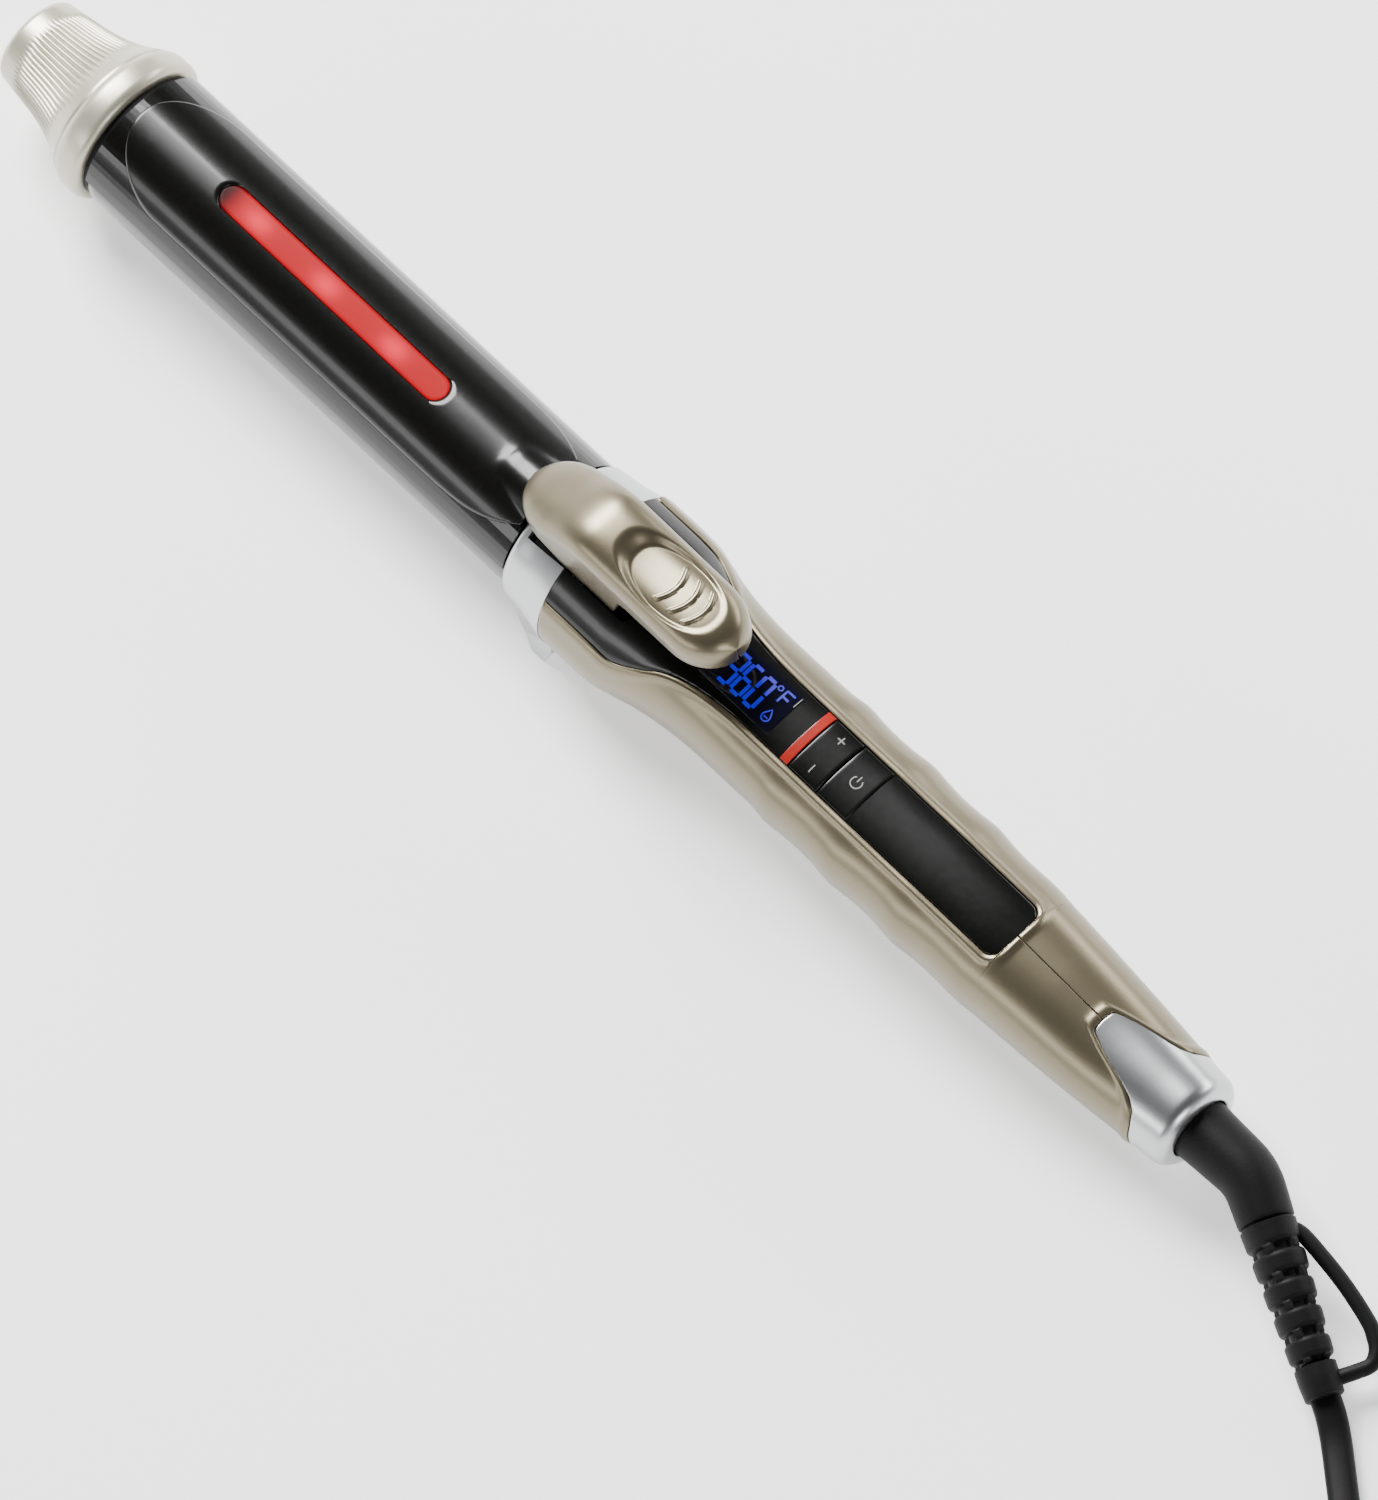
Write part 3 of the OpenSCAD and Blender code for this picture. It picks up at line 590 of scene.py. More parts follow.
def lit_window(name, colour, hot):
    """Red light window: three lamps glow through it, and its front end is dark."""
    look = Finish(name, roughness=0.3, specular_ior_level=0.05)
    x, y, _ = look.axes()
    tip = x + MID_X * MM
    glow = 0.0
    for lamp in LAMPS:
        far = ((tip - lamp * MM) * (tip - lamp * MM) * 0.4 + y * y) / (2.1 * MM) ** 2
        glow = glow + (far * -1.0).math("EXPONENT")
    front = tip.between(61.5 * MM, 67.5 * MM)
    side = 1.0 - abs(y).between(2.1 * MM, 3.2 * MM) * 0.45
    look.vary("Base Color", look.blend(front, (0.02, 0.0, 0.0, 1), darker(colour, 0.5)))
    tone = look.blend(glow.math("MINIMUM", 1.0), colour, hot)
    dark = look.blend(front * side, (0.004, 0.0, 0.0, 1), tone)
    look.vary("Emission Color", dark)
    look.shader.inputs["Emission Strength"].default_value = 1.0
    return look.material


def lit(name, colour, strength):
    """Marks that glow: lit display marks, and print given a faint painted glow that no lamp gives.
    """
    look = Finish(name, roughness=0.4, emission_strength=strength)
    cell = look.noise(1800, 1.0)
    look.vary("Base Color", darker(colour, 0.5))
    look.vary("Emission Color", look.blend(cell, darker(colour, 0.85), darker(colour, 1.1)))
    return look.material


# Materials already made, by kind
_looks = {}


def look_of(key):
    """The material of a kind, made once from the finishes that the user set."""
    if key in _looks:
        return _looks[key]
    wish = bpy.context.scene.iron_finishes
    makers = {
        "shell": lambda: lacquer("Champagne lacquer", wish.shell, 0.85, 0.34),
        "tip": lambda: lacquer("Pale tip lacquer", wish.tip, 0.65, 0.36),
        "silver": lambda: lacquer("Satin silver", wish.silver, 0.95, 0.3, 0.004),
        "black": lambda: gloss("Black gloss", wish.black, 0.24, 0.1),
        "coating": lambda: gloss("Black ceramic coating", wish.black, 0.2, 0.25),
        "grain": lambda: matte("Grained black plastic", wish.rubber),
        "rubber": lambda: matte("Black cord rubber", wish.rubber, 0.5, 900, 0.03),
        "stripe": lambda: gloss("Red stripe", wish.stripe, 0.25),
        "glass": lambda: gloss("Display glass", (0.004, 0.004, 0.012), 0.08, 0.8),
        "window": lambda: lit_window("Red light window", (*wish.window, 1), (*wish.lamp, 1)),
        "digits": lambda: lit("Blue digits", wish.digits, 1.6),
        # Print is no lamp: its faint emission is a painted glow, and the same finish draws the
        # painted highlight on the display's edge.
        "print": lambda: lit("Pale print with painted glow", (0.35, 0.35, 0.33), 0.06),
        "steel": lambda: plain_metal("Spring steel", (0.6, 0.6, 0.61)),
        "aluminium": lambda: plain_metal("Aluminium", (0.78, 0.78, 0.79), 0.4),
        "brass": lambda: plain_metal("Brass contact", (0.8, 0.58, 0.25), 0.28),
        "ceramic": lambda: matte("Ceramic", (0.8, 0.77, 0.68), 0.6),
        "board": lambda: matte("Circuit board", (0.03, 0.2, 0.07), 0.4),
        "wire": lambda: matte("Red wire", (0.5, 0.05, 0.03), 0.5),
        "floor": lambda: pale_floor("Pale floor", wish.floor),
    }
    _looks[key] = makers[key]()
    return _looks[key]


# ---- settings ----


def colour_setting(name, description, default):
    """A colour that the user may change."""
    return bpy.props.FloatVectorProperty(
        name=name, description=description, subtype="COLOR", size=3, min=0, max=2, default=default
    )


class IronFinishes(bpy.types.PropertyGroup):
    """Colours of the iron and its stage."""

    shell: colour_setting("Shell", "Lacquer of the grip and lever", (0.19, 0.163, 0.106))
    tip: colour_setting("Tip", "Pale lacquer of the cool tip", (0.47, 0.44, 0.35))
    silver: colour_setting("Silver", "Satin silver of the collar and tail", (0.50, 0.51, 0.52))
    black: colour_setting("Black", "Barrel, clip and panel", (0.0025, 0.0025, 0.0022))
    rubber: colour_setting("Rubber", "Matte black of the elbow and cord", (0.004, 0.004, 0.004))
    stripe: colour_setting("Stripe", "Thin stripe in front of the keys", (0.30, 0.014, 0.008))
    window: colour_setting("Window", "Light window between the lamps", (0.36, 0.004, 0.008))
    lamp: colour_setting("Lamp", "Light window over a lamp", (1.3, 0.035, 0.08))
    digits: colour_setting("Digits", "Digits of the display", (0.002, 0.0, 0.34))
    floor: colour_setting("Floor", "Floor of the stage", (0.86, 0.86, 0.86))


def length_setting(name, description, default, low, high):
    """A length in metres that the user may change."""
    return bpy.props.FloatProperty(
        name=name,
        description=description,
        default=default,
        min=low,
        max=high,
        precision=5,
        unit="LENGTH",
    )


class IronSizes(bpy.types.PropertyGroup):
    """Sizes of the fine features."""

    rib_count: bpy.props.IntProperty(
        name="Ribs", description="Fine ribs round the cool tip", default=64, min=24, max=96
    )
    rib_depth: length_setting("Rib depth", "Depth between two ribs", 0.00055, 0, 0.001)
    lip_height: length_setting(
        "Lip height", "Height of the soft lip round the black strip", 0.00045, 0, 0.001
    )
    scoop_depth: length_setting(
        "Scoop depth", "Depth of the thumb scoop in the lever", 0.0027, 0.0005, 0.003
    )
    cord_width: length_setting("Cord width", "Width of the flat cord", 0.0066, 0.006, 0.007)
    cord_thickness: length_setting(
        "Cord thickness", "Thickness of the flat cord", 0.0042, 0.004, 0.0044
    )
    view_height: length_setting(
        "View height", "Height of the camera's view at the iron", 0.30975, 0.2, 1.0
    )


class IronPiece:
    """What every operator of the iron shares."""

    bl_options = {"REGISTER", "UNDO"}


# ---- camera and cord ----


class IRON_OT_camera(IronPiece, bpy.types.Operator):
    """Sets a long-lens camera above the iron, looking along and down on it"""

    bl_idname = "iron.camera"
    bl_label = "Camera"

    def execute(self, context):
        """Makes the camera."""
        toward_tail = 0.36
        rest = math.sqrt(1 - toward_tail**2)
        tilt = math.radians(12.5)
        roll = math.radians(43)
        back = Vector((toward_tail, -rest * math.sin(tilt), rest * math.cos(tilt)))
        length_way = (Vector((1, 0, 0)) - toward_tail * back) / rest
        width_way = Vector((0, -math.cos(tilt), -math.sin(tilt)))
        right = math.cos(roll) * length_way - math.sin(roll) * width_way
        up = -(math.sin(roll) * length_way + math.cos(roll) * width_way)
        behind_tip, beside = 199.44, 15.26
        target = spot(0, 0, 0) + (behind_tip * length_way + beside * width_way) * MM
        distance = 10.0
        lens = bpy.data.cameras.new("Camera")
        camera = bpy.data.objects.new("Camera", lens)
        context.scene.collection.objects.link(camera)
        lens.lens = lens.sensor_width * distance / context.scene.iron_sizes.view_height
        lens.clip_start, lens.clip_end = 1.0, 60.0
        turn = Matrix((right, up, back)).transposed().to_4x4()
        camera.matrix_world = Matrix.Translation(target + distance * back) @ turn
        context.scene.camera = camera
        return {"FINISHED"}


# Route of the cord in the frame, in mm: to the coil, round it, and over it to the plug
LEAD = [(228, -25.4, 2.7), (236, -31.4, 2.2), (248, -40.4, 2.2), (260, -49.4, 2.2)]
COIL_CENTRE = (296.7, -25.5)
COIL_START = math.radians(233.13)
# Radius and level at the start of each turn, and after the last one
COIL_TURNS = [
    (41.1, 2.2), (34.3, 2.2), (27.5, 2.2), (27.5, 6.5), (34.3, 6.5), (41.1, 6.5), (41.1, 10.8),
    (34.3, 10.8), (34.3, 15.1),
]
COIL_POINTS = 40
# Where the cord enters the plug, and the bend that leads there: radius, angle in degrees,
# and how far it rises from the coil
PLUG_NECK = (328.7, -35.5, 21.0)
END_BEND, END_TURN, END_RISE = 27.0, 110, 5.7


def cord_route():
    """Points of the cord's middle, from the strain relief to the plug, in metres."""
    direction = down_relief(1, 0, 0) - down_relief(0, 0, 0)
    out = down_relief(RELIEF[1], 0, 0)
    start = Vector((out.x - MID_X, out.y, out.z + AXIS_H))
    route = [start - direction * 0.2, start + direction * 3.2]
    route += [Vector(p) for p in LEAD]
    for k in range((len(COIL_TURNS) - 1) * COIL_POINTS):
        whole, part = divmod(k / COIL_POINTS, 1)
        here, after = COIL_TURNS[int(whole)], COIL_TURNS[int(whole) + 1]
        radius = here[0] + (after[0] - here[0]) * ease((part - 0.7) / 0.3)
        level = here[1] + (after[1] - here[1]) * ease((part - 0.4) / 0.3)
        angle = COIL_START + 2 * math.pi * part
        ring = Vector((math.cos(angle), math.sin(angle), 0)) * radius
        route.append(Vector((*COIL_CENTRE, level)) + ring)
    for degrees in range(-END_TURN, 1, 10):
        angle = math.radians(degrees)
        bend = Vector((math.cos(angle) - 1, math.sin(angle), 0)) * END_BEND
        rise = END_RISE * (ease((degrees + END_TURN) / END_TURN) - 1)
        route.append(Vector(PLUG_NECK) + bend + Vector((0, 0, rise)))
    fine = []
    for k, (a, b) in enumerate(zip(route, route[1:])):
        scale = (b - a).length
        leave = (b - route[max(k - 1, 0)]).normalized() * scale
        arrive = (route[min(k + 2, len(route) - 1)] - a).normalized() * scale
        parts = max(1, round(scale / 3.0))
        fine += [hermite(a, leave, b, arrive, i / parts) for i in range(parts)]
    fine.append(route[-1])
    return [p * MM for p in fine]


def swept(bm, line, ring, sides):
    """A tube along a line; ring(k, turn) gives the two offsets, to the side and up."""
    sides_up = []
    for k, point in enumerate(line):
        ahead = (line[min(k + 1, len(line) - 1)] - line[max(k - 1, 0)]).normalized()
        side = Vector((0, 0, 1)).cross(ahead).normalized()
        sides_up.append((side, ahead.cross(side)))

    def place(k, turn):
        side, up = sides_up[k]
        a, b = ring(k, turn)
        return line[k] + side * a + up * b

    tube(bm, line, place, sides)


class IRON_OT_cord(IronPiece, bpy.types.Operator):
    """Lays the flat cord to a neat coil beside the iron, with its plug on the far end"""

    bl_idname = "iron.cord"
    bl_label = "Cord and plug"

    def execute(self, context):
        """Makes the cord and the plug."""
        sizes = context.scene.iron_sizes
        line = cord_route()
        half, thick = sizes.cord_width / 2, sizes.cord_thickness / 2

        def section(k, turn):
            return half * power(math.cos(turn), 0.7), thick * power(math.sin(turn), 0.7)

        bm = bmesh.new()
        swept(bm, line, section, 20)
        nodes = ("cord_lead", "cord_coil", "cord_end")
        cord = finished("cord", bm, "rubber", "cord_swivel", nodes)
        plug, blades = make_plug()
        length = sum((b - a).length for a, b in zip(line, line[1:]))
        out = down_relief(RELIEF[1], 0, 0)
        spot(*out)
        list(make_relief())
        return {"FINISHED"}


def make_plug():
    """The moulded plug on the cord's far end, with its two blades."""
    neck = Vector(PLUG_NECK)
    turn = Matrix.Rotation(math.radians(-90), 4, "Z")
    into = Matrix.Scale(MM, 4) @ Matrix.Translation(neck) @ turn
    bm = bmesh.new()
    # Distance behind the neck, half width and half height of each ring
    ring = [
        (0.0, 3.9, 3.2),
        (-2.0, 4.6, 3.8),
        (-5.0, 5.0, 4.2),
        (-5.6, 4.3, 3.6),
        (-6.6, 4.3, 3.6),
        (-7.2, 5.3, 4.6),
        (-9.6, 5.8, 5.0),
        (-10.2, 5.0, 4.4),
        (-11.2, 5.2, 4.6),
        (-12.0, 8.0, 6.2),
        (-14.5, 10.6, 7.0),
        (-18.0, 11.6, 7.5),
        (-24.0, 11.9, 7.6),
        (-33.0, 11.9, 7.6),
        (-36.5, 11.5, 7.4),
        (-37.9, 10.6, 6.8),
        (-38.0, 9.8, 6.2),
    ]

    def place(k, angle):
        along, wide, tall = ring[k]
        square = 0.55 if along < -12 else 1.0
        z = min(tall * power(math.sin(angle), square), 7.5)
        return Vector((along, wide * power(math.cos(angle), square), z))

    tube(bm, ring, place, 48)
    for side in (-1, 1):
        for k in range(4):
            made = bmesh.ops.create_cube(bm, size=1.0)
            bmesh.ops.scale(bm, vec=(1.2, 1.0, 9), verts=made["verts"])
            at = (-19 - 3 * k, side * 11.4, 0)
            bmesh.ops.translate(bm, vec=at, verts=made["verts"])
    bmesh.ops.transform(bm, matrix=into, verts=bm.verts)
    plug = finished("plug", bm, "rubber", "cord_swivel", ("plug_body",), 30)
    bm = bmesh.new()
    for side in (-1, 1):
        made = bmesh.ops.create_cube(bm, size=1.0)
        bmesh.ops.scale(bm, vec=(17, 1.5, 6.4), verts=made["verts"])
        bmesh.ops.translate(bm, vec=(-46.5, side * 6.35, 0), verts=made["verts"])
        corners = [
            edge
            for edge in bm.edges
            if all(v in made["verts"] and v.co.x < -50 for v in edge.verts)
            and abs(edge.verts[0].co.y - edge.verts[1].co.y) > 1
        ]
        bmesh.ops.bevel(
            bm, geom=corners, offset=1.6, affect="EDGES", segments=3, profile=0.5, material=-1
        )
    bmesh.ops.transform(bm, matrix=into, verts=bm.verts)
    blades = finished(
        "plug_blades_brass", bm, "brass", "cord_swivel", ("plug_blades",), 30
    )
    return plug, blades


# The hanging loop's middle line: distance from the elbow's bend, and out from the relief
LOOP = [
    (12.6, 4), (14, 5.6), (17, 7.2), (27, 10.9), (36, 13.2), (39.6, 13.4), (42.2, 13.1),
    (44.2, 12), (45.2, 10.6), (45.4, 8), (45.4, 3.4),
]


def relief_radius(x, turn):
    """Radius of the strain relief: ring segments with slots and side notches between."""
    if x > SEGMENTS_END:
        return 4.75 - 0.3 * ease((x - 44) / 5) - 0.5 * ease((x - 48.3) / 0.5)
    radius = 6.3 - 1.35 * (x - RELIEF[0]) / 30
    pitch = 6.2
    place = (x - 16.5) / pitch
    near = abs(place - round(place)) * pitch if -0.3 < place < 4.3 else 9.0
    # Slots in front and behind, notches at the sides, and a rounded edge on each segment
    slot = 1 - ease((near - 0.75) / 0.35)
    face = abs(math.sin(turn))
    front = ease((face - 0.66) / 0.1)
    side = 1 - ease((face - 0.3) / 0.12)
    depth = slot * max(front * 1.9, side * 1.2)
    edge = 0.35 * (1 - ease((near - 0.75) / 1.1)) * (1 - slot)
    return radius - depth - edge - 0.8 * ease((x - 41.0) / 0.4)


def make_relief():
    """The segmented strain relief and the hanging loop on it."""
    bm = bmesh.new()
    xs = steps(RELIEF[0] - 0.4, RELIEF[1], 0.25)
    tilt = math.radians(-38)

    def place(k, turn):
        r = relief_radius(xs[k], turn)
        if k in (0, len(xs) - 1):
            r = r - 0.4
        wide = 1.06 if xs[k] < SEGMENTS_END else 1.0
        a, b = r * wide * math.cos(turn), r * 0.95 * math.sin(turn)
        y = a * math.cos(tilt) - b * math.sin(tilt)
        z = a * math.sin(tilt) + b * math.cos(tilt)
        return spot(*down_relief(xs[k], y, z))

    tube(bm, xs, place, 96)
    relief = finished(
        "strain_relief_rings", bm, "grain", "cord_swivel", ("strain_relief",), 45
    )
    bm = bmesh.new()
    fine = [smooth_pair(LOOP, k / 6) for k in range(6 * (len(LOOP) - 1))] + [LOOP[-1]]
    lean = math.radians(-22)
    thick = 1.68

    def loop_ring(k, turn):
        ahead = Vector(fine[min(k + 1, len(fine) - 1)]) - Vector(fine[max(k - 1, 0)])
        ahead.normalize()
        x = fine[k][0] - ahead.y * thick * math.cos(turn)
        out = fine[k][1] + ahead.x * thick * math.cos(turn)
        beside = thick * math.sin(turn)
        y = math.cos(lean) * beside - math.sin(lean) * out
        return spot(*down_relief(x, y, math.sin(lean) * beside + math.cos(lean) * out))

    tube(bm, fine, loop_ring, 20)
    loop = finished("hang_loop_rod", bm, "grain", "cord_swivel", ("hang_loop",))
    return relief, loop


def smooth_pair(points, t):
    """A point at t along a smooth curve through points of two numbers."""
    k = min(int(t), len(points) - 2)
    p0, p1 = points[max(k - 1, 0)], points[k]
    p2, p3 = points[k + 1], points[min(k + 2, len(points) - 1)]
    return tuple(
        hermite(b, (c - a) / 2, c, (d - b) / 2, t - k) for a, b, c, d in zip(p0, p1, p2, p3)
    )


# ---- stage ----


class IRON_OT_stage(IronPiece, bpy.types.Operator):
    """Lays a plain pale floor and soft studio light round the iron"""

    bl_idname = "iron.stage"
    bl_label = "Stage"

    def execute(self, context):
        """Makes the floor, the sky and the soft boxes."""
        bm = bmesh.new()
        bmesh.ops.create_grid(bm, x_segments=2, y_segments=2, size=6.0)
        mesh = bpy.data.meshes.new("floor")
        bm.to_mesh(mesh)
        bm.free()
        floor = bpy.data.objects.new("floor", mesh)
        context.scene.collection.objects.link(floor)
        mesh.materials.append(look_of("floor"))
        world = bpy.data.worlds.new("Studio")
        context.scene.world = world
        world.use_nodes = True
        tree = world.node_tree
        sky = tree.nodes["Background"]
        place = tree.nodes.new("ShaderNodeTexCoord")
        parts = tree.nodes.new("ShaderNodeSeparateXYZ")
        ramp = tree.nodes.new("ShaderNodeValToRGB")
        ramp.color_ramp.elements[0].position = 0.05
        ramp.color_ramp.elements[0].color = (0.7, 0.7, 0.7, 1)
        ramp.color_ramp.elements[1].position = 0.55
        ramp.color_ramp.elements[1].color = (0.03, 0.03, 0.03, 1)
        tree.links.new(place.outputs["Generated"], parts.inputs[0])
        tree.links.new(parts.outputs["Z"], ramp.inputs["Fac"])
        tree.links.new(ramp.outputs["Color"], sky.inputs["Color"])
        sky.inputs["Strength"].default_value = 1.0
        # Name, place in metres, watts, width and height of each soft box
        boxes = [
            ("Key", (-1.6, 0.5, 1.7), 200.0, 1.2, 1.3),
            ("Left", (-0.2, -2.0, 0.8), 16.0, 1.8, 0.4),
            ("Right", (0.3, 2.0, 0.8), 26.0, 1.8, 0.4),
            ("Tail", (2.0, -0.4, 0.8), 14.0, 0.8, 0.6),
        ]
        for name, place_at, watts, wide, tall in boxes:
            lamp = bpy.data.lights.new(name, "AREA")
            lamp.shape = "RECTANGLE"
            lamp.size, lamp.size_y = wide, tall
            lamp.energy = watts
            box = bpy.data.objects.new(name, lamp)
            context.scene.collection.objects.link(box)
            at = Vector(place_at)
            box.location = at
            box.rotation_euler = (Vector((0, 0, 0.02)) - at).to_track_quat("-Z", "Y").to_euler()
        return {"FINISHED"}


# ---- tip and barrel ----


class IRON_OT_tip(IronPiece, bpy.types.Operator):
    """Turns the flared cool tip and cuts its fine ribs"""

    bl_idname = "iron.tip"
    bl_label = "Cool tip"

    def execute(self, context):
        """Makes the ribbed tip."""
        sizes = context.scene.iron_sizes
        profile = [(0.0, 0.0), (0.0, 4.0), (0.0, 8.0)]
        profile += [(2 - 2 * math.cos(a), 8.3 + 2.1 * math.sin(a)) for a in angles(0, 75, 15)]
        profile += [(x, along_rows(x, TIP_ROWS)[1]) for x in steps(2, 24.6, 0.55)]
        profile += [(25.0, 16.8), (25.3, 17.15), (25.6, 17.35), (26.4, 17.75), (27.2, 17.9)]
        profile += [tip_end(a) for a in angles(0, 90, 10)]
        profile += [(TIP_END, 15.0), (31.6, 14.6), (27.0, 14.5)]
        ribs = sizes.rib_count
        bm = turned(profile, ribs * 8)
        for vert in bm.verts:
            x = vert.co.x / MM + MID_X
            y, z = vert.co.y, vert.co.z - AXIS_H * MM
            radius = math.hypot(y, z)
            if radius < 9 * MM or not 3 < x < 24:
                continue
            turn = math.atan2(z, y)
            wave = abs(math.sin(turn * ribs / 2)) ** 0.8
            fade = ease((x - 4.2) / 4) * (1 - ease((x - 18.2) / 4.2))
            cut = sizes.rib_depth * fade * (1 - wave)
            vert.co.y -= cut * y / radius
            vert.co.z -= cut * z / radius
        finished("ribbed_tip", bm, "tip", "handle", ("cool_tip_cap",), 60)
        dress("grain", "tip_insulator_ring")
        return {"FINISHED"}


def tip_end(angle):
    """The rounded rear edge of the tip's flange, as a distance and a radius."""
    x, radius = TIP_END - TIP_ROUND, TIP_RADIUS - TIP_ROUND
    return x + TIP_ROUND * math.sin(angle), radius + TIP_ROUND * math.cos(angle)


class IRON_OT_barrel(IronPiece, bpy.types.Operator):
    """Turns the coated barrel tube"""

    bl_idname = "iron.barrel"
    bl_label = "Barrel"

    def execute(self, context):
        """Makes the barrel."""
        front, rear, outer, inner = BARREL
        profile = [(front, 15.2), (front + 0.2, 15.6), (34.0, outer)]
        profile += [(x, outer) for x in steps(36, 174, 6)]
        profile += [(rear, outer), (rear, inner), (front, inner)]
        bm = turned(profile, 128, closed=True)
        finished("barrel_tube", bm, "coating", "handle", ("barrel",))
        return {"FINISHED"}


# ---- clip ----


def cover_height(x, y):
    """Height of the clip cover, with its low hump in front of the lever."""
    # The plate's curve, then a cone with a round front, and a soft join of the two
    surface = 1.4 + math.sqrt(16.5**2 - min(abs(y), 16) ** 2)
    past = max(x - 151, 0)
    room = 8.4**2 - (min(x - 151, 0)) ** 2 - y**2
    hump = 10.6 + 0.14 * past + math.sqrt(max(room, 0))
    gap = hump - surface
    return surface + (gap + math.sqrt(gap**2 + 0.12)) / 2


def cover_half(x):
    """Half width of the clip cover's outline."""
    if x < COVER_START + COVER_ROUND:
        t = 1 - (x - COVER_START) / COVER_ROUND
        return COVER_HALF * math.sqrt(max(0, 1 - t * t))
    return COVER_HALF if x < COVER_TAPER else along_rows(x, COVER_ROWS)[1]


def outline_pair(share):
    """Matching points on the window slot's outline and the cover's, share of the way round."""
    start, end, half = WINDOW
    mirror = -1 if share > 0.5 else 1
    t = 2 * min(share, 1 - share)
    front, straight, taper = 0.25, 0.7, 0.75
    rounded = COVER_START + COVER_ROUND
    if t < front:
        turn = t / front * math.pi / 2
        inner = (start + half - half * math.cos(turn), half * math.sin(turn))
        outer = (rounded - COVER_ROUND * math.cos(turn), COVER_HALF * math.sin(turn))
    elif t < straight:
        u = (t - front) / (straight - front)
        inner = (start + half + u * (end - start - 2 * half), half)
        outer = (rounded + u * (COVER_TAPER - rounded), COVER_HALF)
    else:
        u = (t - straight) / (1 - straight)
        turn = u * math.pi / 2
        inner = (end - half + half * math.sin(turn), half * math.cos(turn))
        x = COVER_TAPER + (COVER_END - COVER_TAPER) * min(u / taper, 1)
        outer = (x, cover_half(x) * min((1 - u) / (1 - taper), 1))
    return (inner[0], mirror * inner[1]), (outer[0], mirror * outer[1])


class IRON_OT_clip(IronPiece, bpy.types.Operator):
    """Shapes the clip's plate, its raised cover and the lit window"""

    bl_idname = "iron.clip"
    bl_label = "Clip"

    def execute(self, context):
        """Makes the cover, the plate and the window."""
        smooth_copy("clip_sheet", "clip_plate", "coating", "clip")
        around, edge_rows = 420, [0, 0.012, 0.03, 0.06]
        rows = edge_rows + steps(0.06, 0.96, 0.03)[1:] + [0.975, 0.985, 0.993, 1.0]
        bm = bmesh.new()

        def place(i, j):
            inner, outer = outline_pair((i % around) / around)
            r = rows[j]
            x = inner[0] + (outer[0] - inner[0]) * r
            y = inner[1] + (outer[1] - inner[1]) * r
            drop = 0.5 * (1 - ease(r / 0.03)) ** 2
            width = math.hypot(outer[0] - inner[0], outer[1] - inner[1])
            near = (1 - r) * width
            fall = 0.0 if x > 157 else 0.55 * max(0.0, 1 - near / 0.55) ** 2
            return spot(x, y, cover_height(x, y) - drop - fall)

        verts = shaped_grid(bm, around, len(rows) - 1, place)
        bmesh.ops.remove_doubles(bm, verts=verts, dist=MERGE)
        face_out(bm)
        cover = finished("clip_cover_shell", bm, "black", "clip", ("clip_cover",))
        wall(cover, 0.5)
        bm = bmesh.new()
        start, end, half = WINDOW
        xs = joined(
            rounded_ends(start, end, half, angles(0, 90, 9)), steps(start + half, end - half, 1.2)
        )

        def lens(i, j):
            x = xs[j]
            past = max(start + half - x, x - (end - half), 0)
            wide = math.sqrt(max(half**2 - past**2, 0.0001)) - 0.03
            y = wide * math.sin(math.radians(-90 + 180 * i / 14))
            edge = max(0.0, 1 - (wide - abs(y)) / 0.6) ** 2 * 0.12
            return spot(x, y, 17.35 + 0.08 * (1 - (y / half) ** 2) - edge)

        shaped_grid(bm, 14, len(xs) - 1, lens)
        face_out(bm)
        window = finished("window_lens", bm, "window", "clip", ("light_window",))
        wall(window, 0.35)
        dress("ceramic", "lamp_strip", "lamps")
        dress("steel", "clip_bracket", "clip_rivets", "lever_screws")
        return {"FINISHED"}


# ---- lever ----


def lever_half_at(x):
    """Half width of the lever seen from above."""
    start, end, half, tip = LEVER
    past = max(0, start + tip - x, x - (end - tip)) / tip
    return half * math.sqrt(max(0, 1 - past**2))


def scoop(x, y):
    """How far the thumb scoop lowers the lever, as a share of its depth."""
    middle, long, wide = SCOOP
    # 1 on the scoop's outline; the floor rises towards the rear
    dx, dy = (x - middle) / long, y / wide
    far = (abs(dx) ** 2.4 + abs(dy) ** 2.4) ** (1 / 2.4)
    if far >= 1:
        return 0.0
    wall_width = 0.16 + 0.3 * clamp(-dx)
    floor = 1.0 - 0.85 * ease((dx + 0.9) / 1.9)
    return ease((1 - far) / wall_width) * floor


def thumb_ridge(x, y):
    """Height of the three curved thumb ridges, in mm."""
    out = 0.0
    for centre in RIDGES:
        line = centre - 2.0 * (y / 4.85) ** 2
        end = clamp(abs(y) - 4.3, 0, 9)
        far = math.hypot(x - line, end)
        out = max(out, 0.5 * math.sqrt(max(0, 1 - (far / 0.62) ** 2)))
    return out


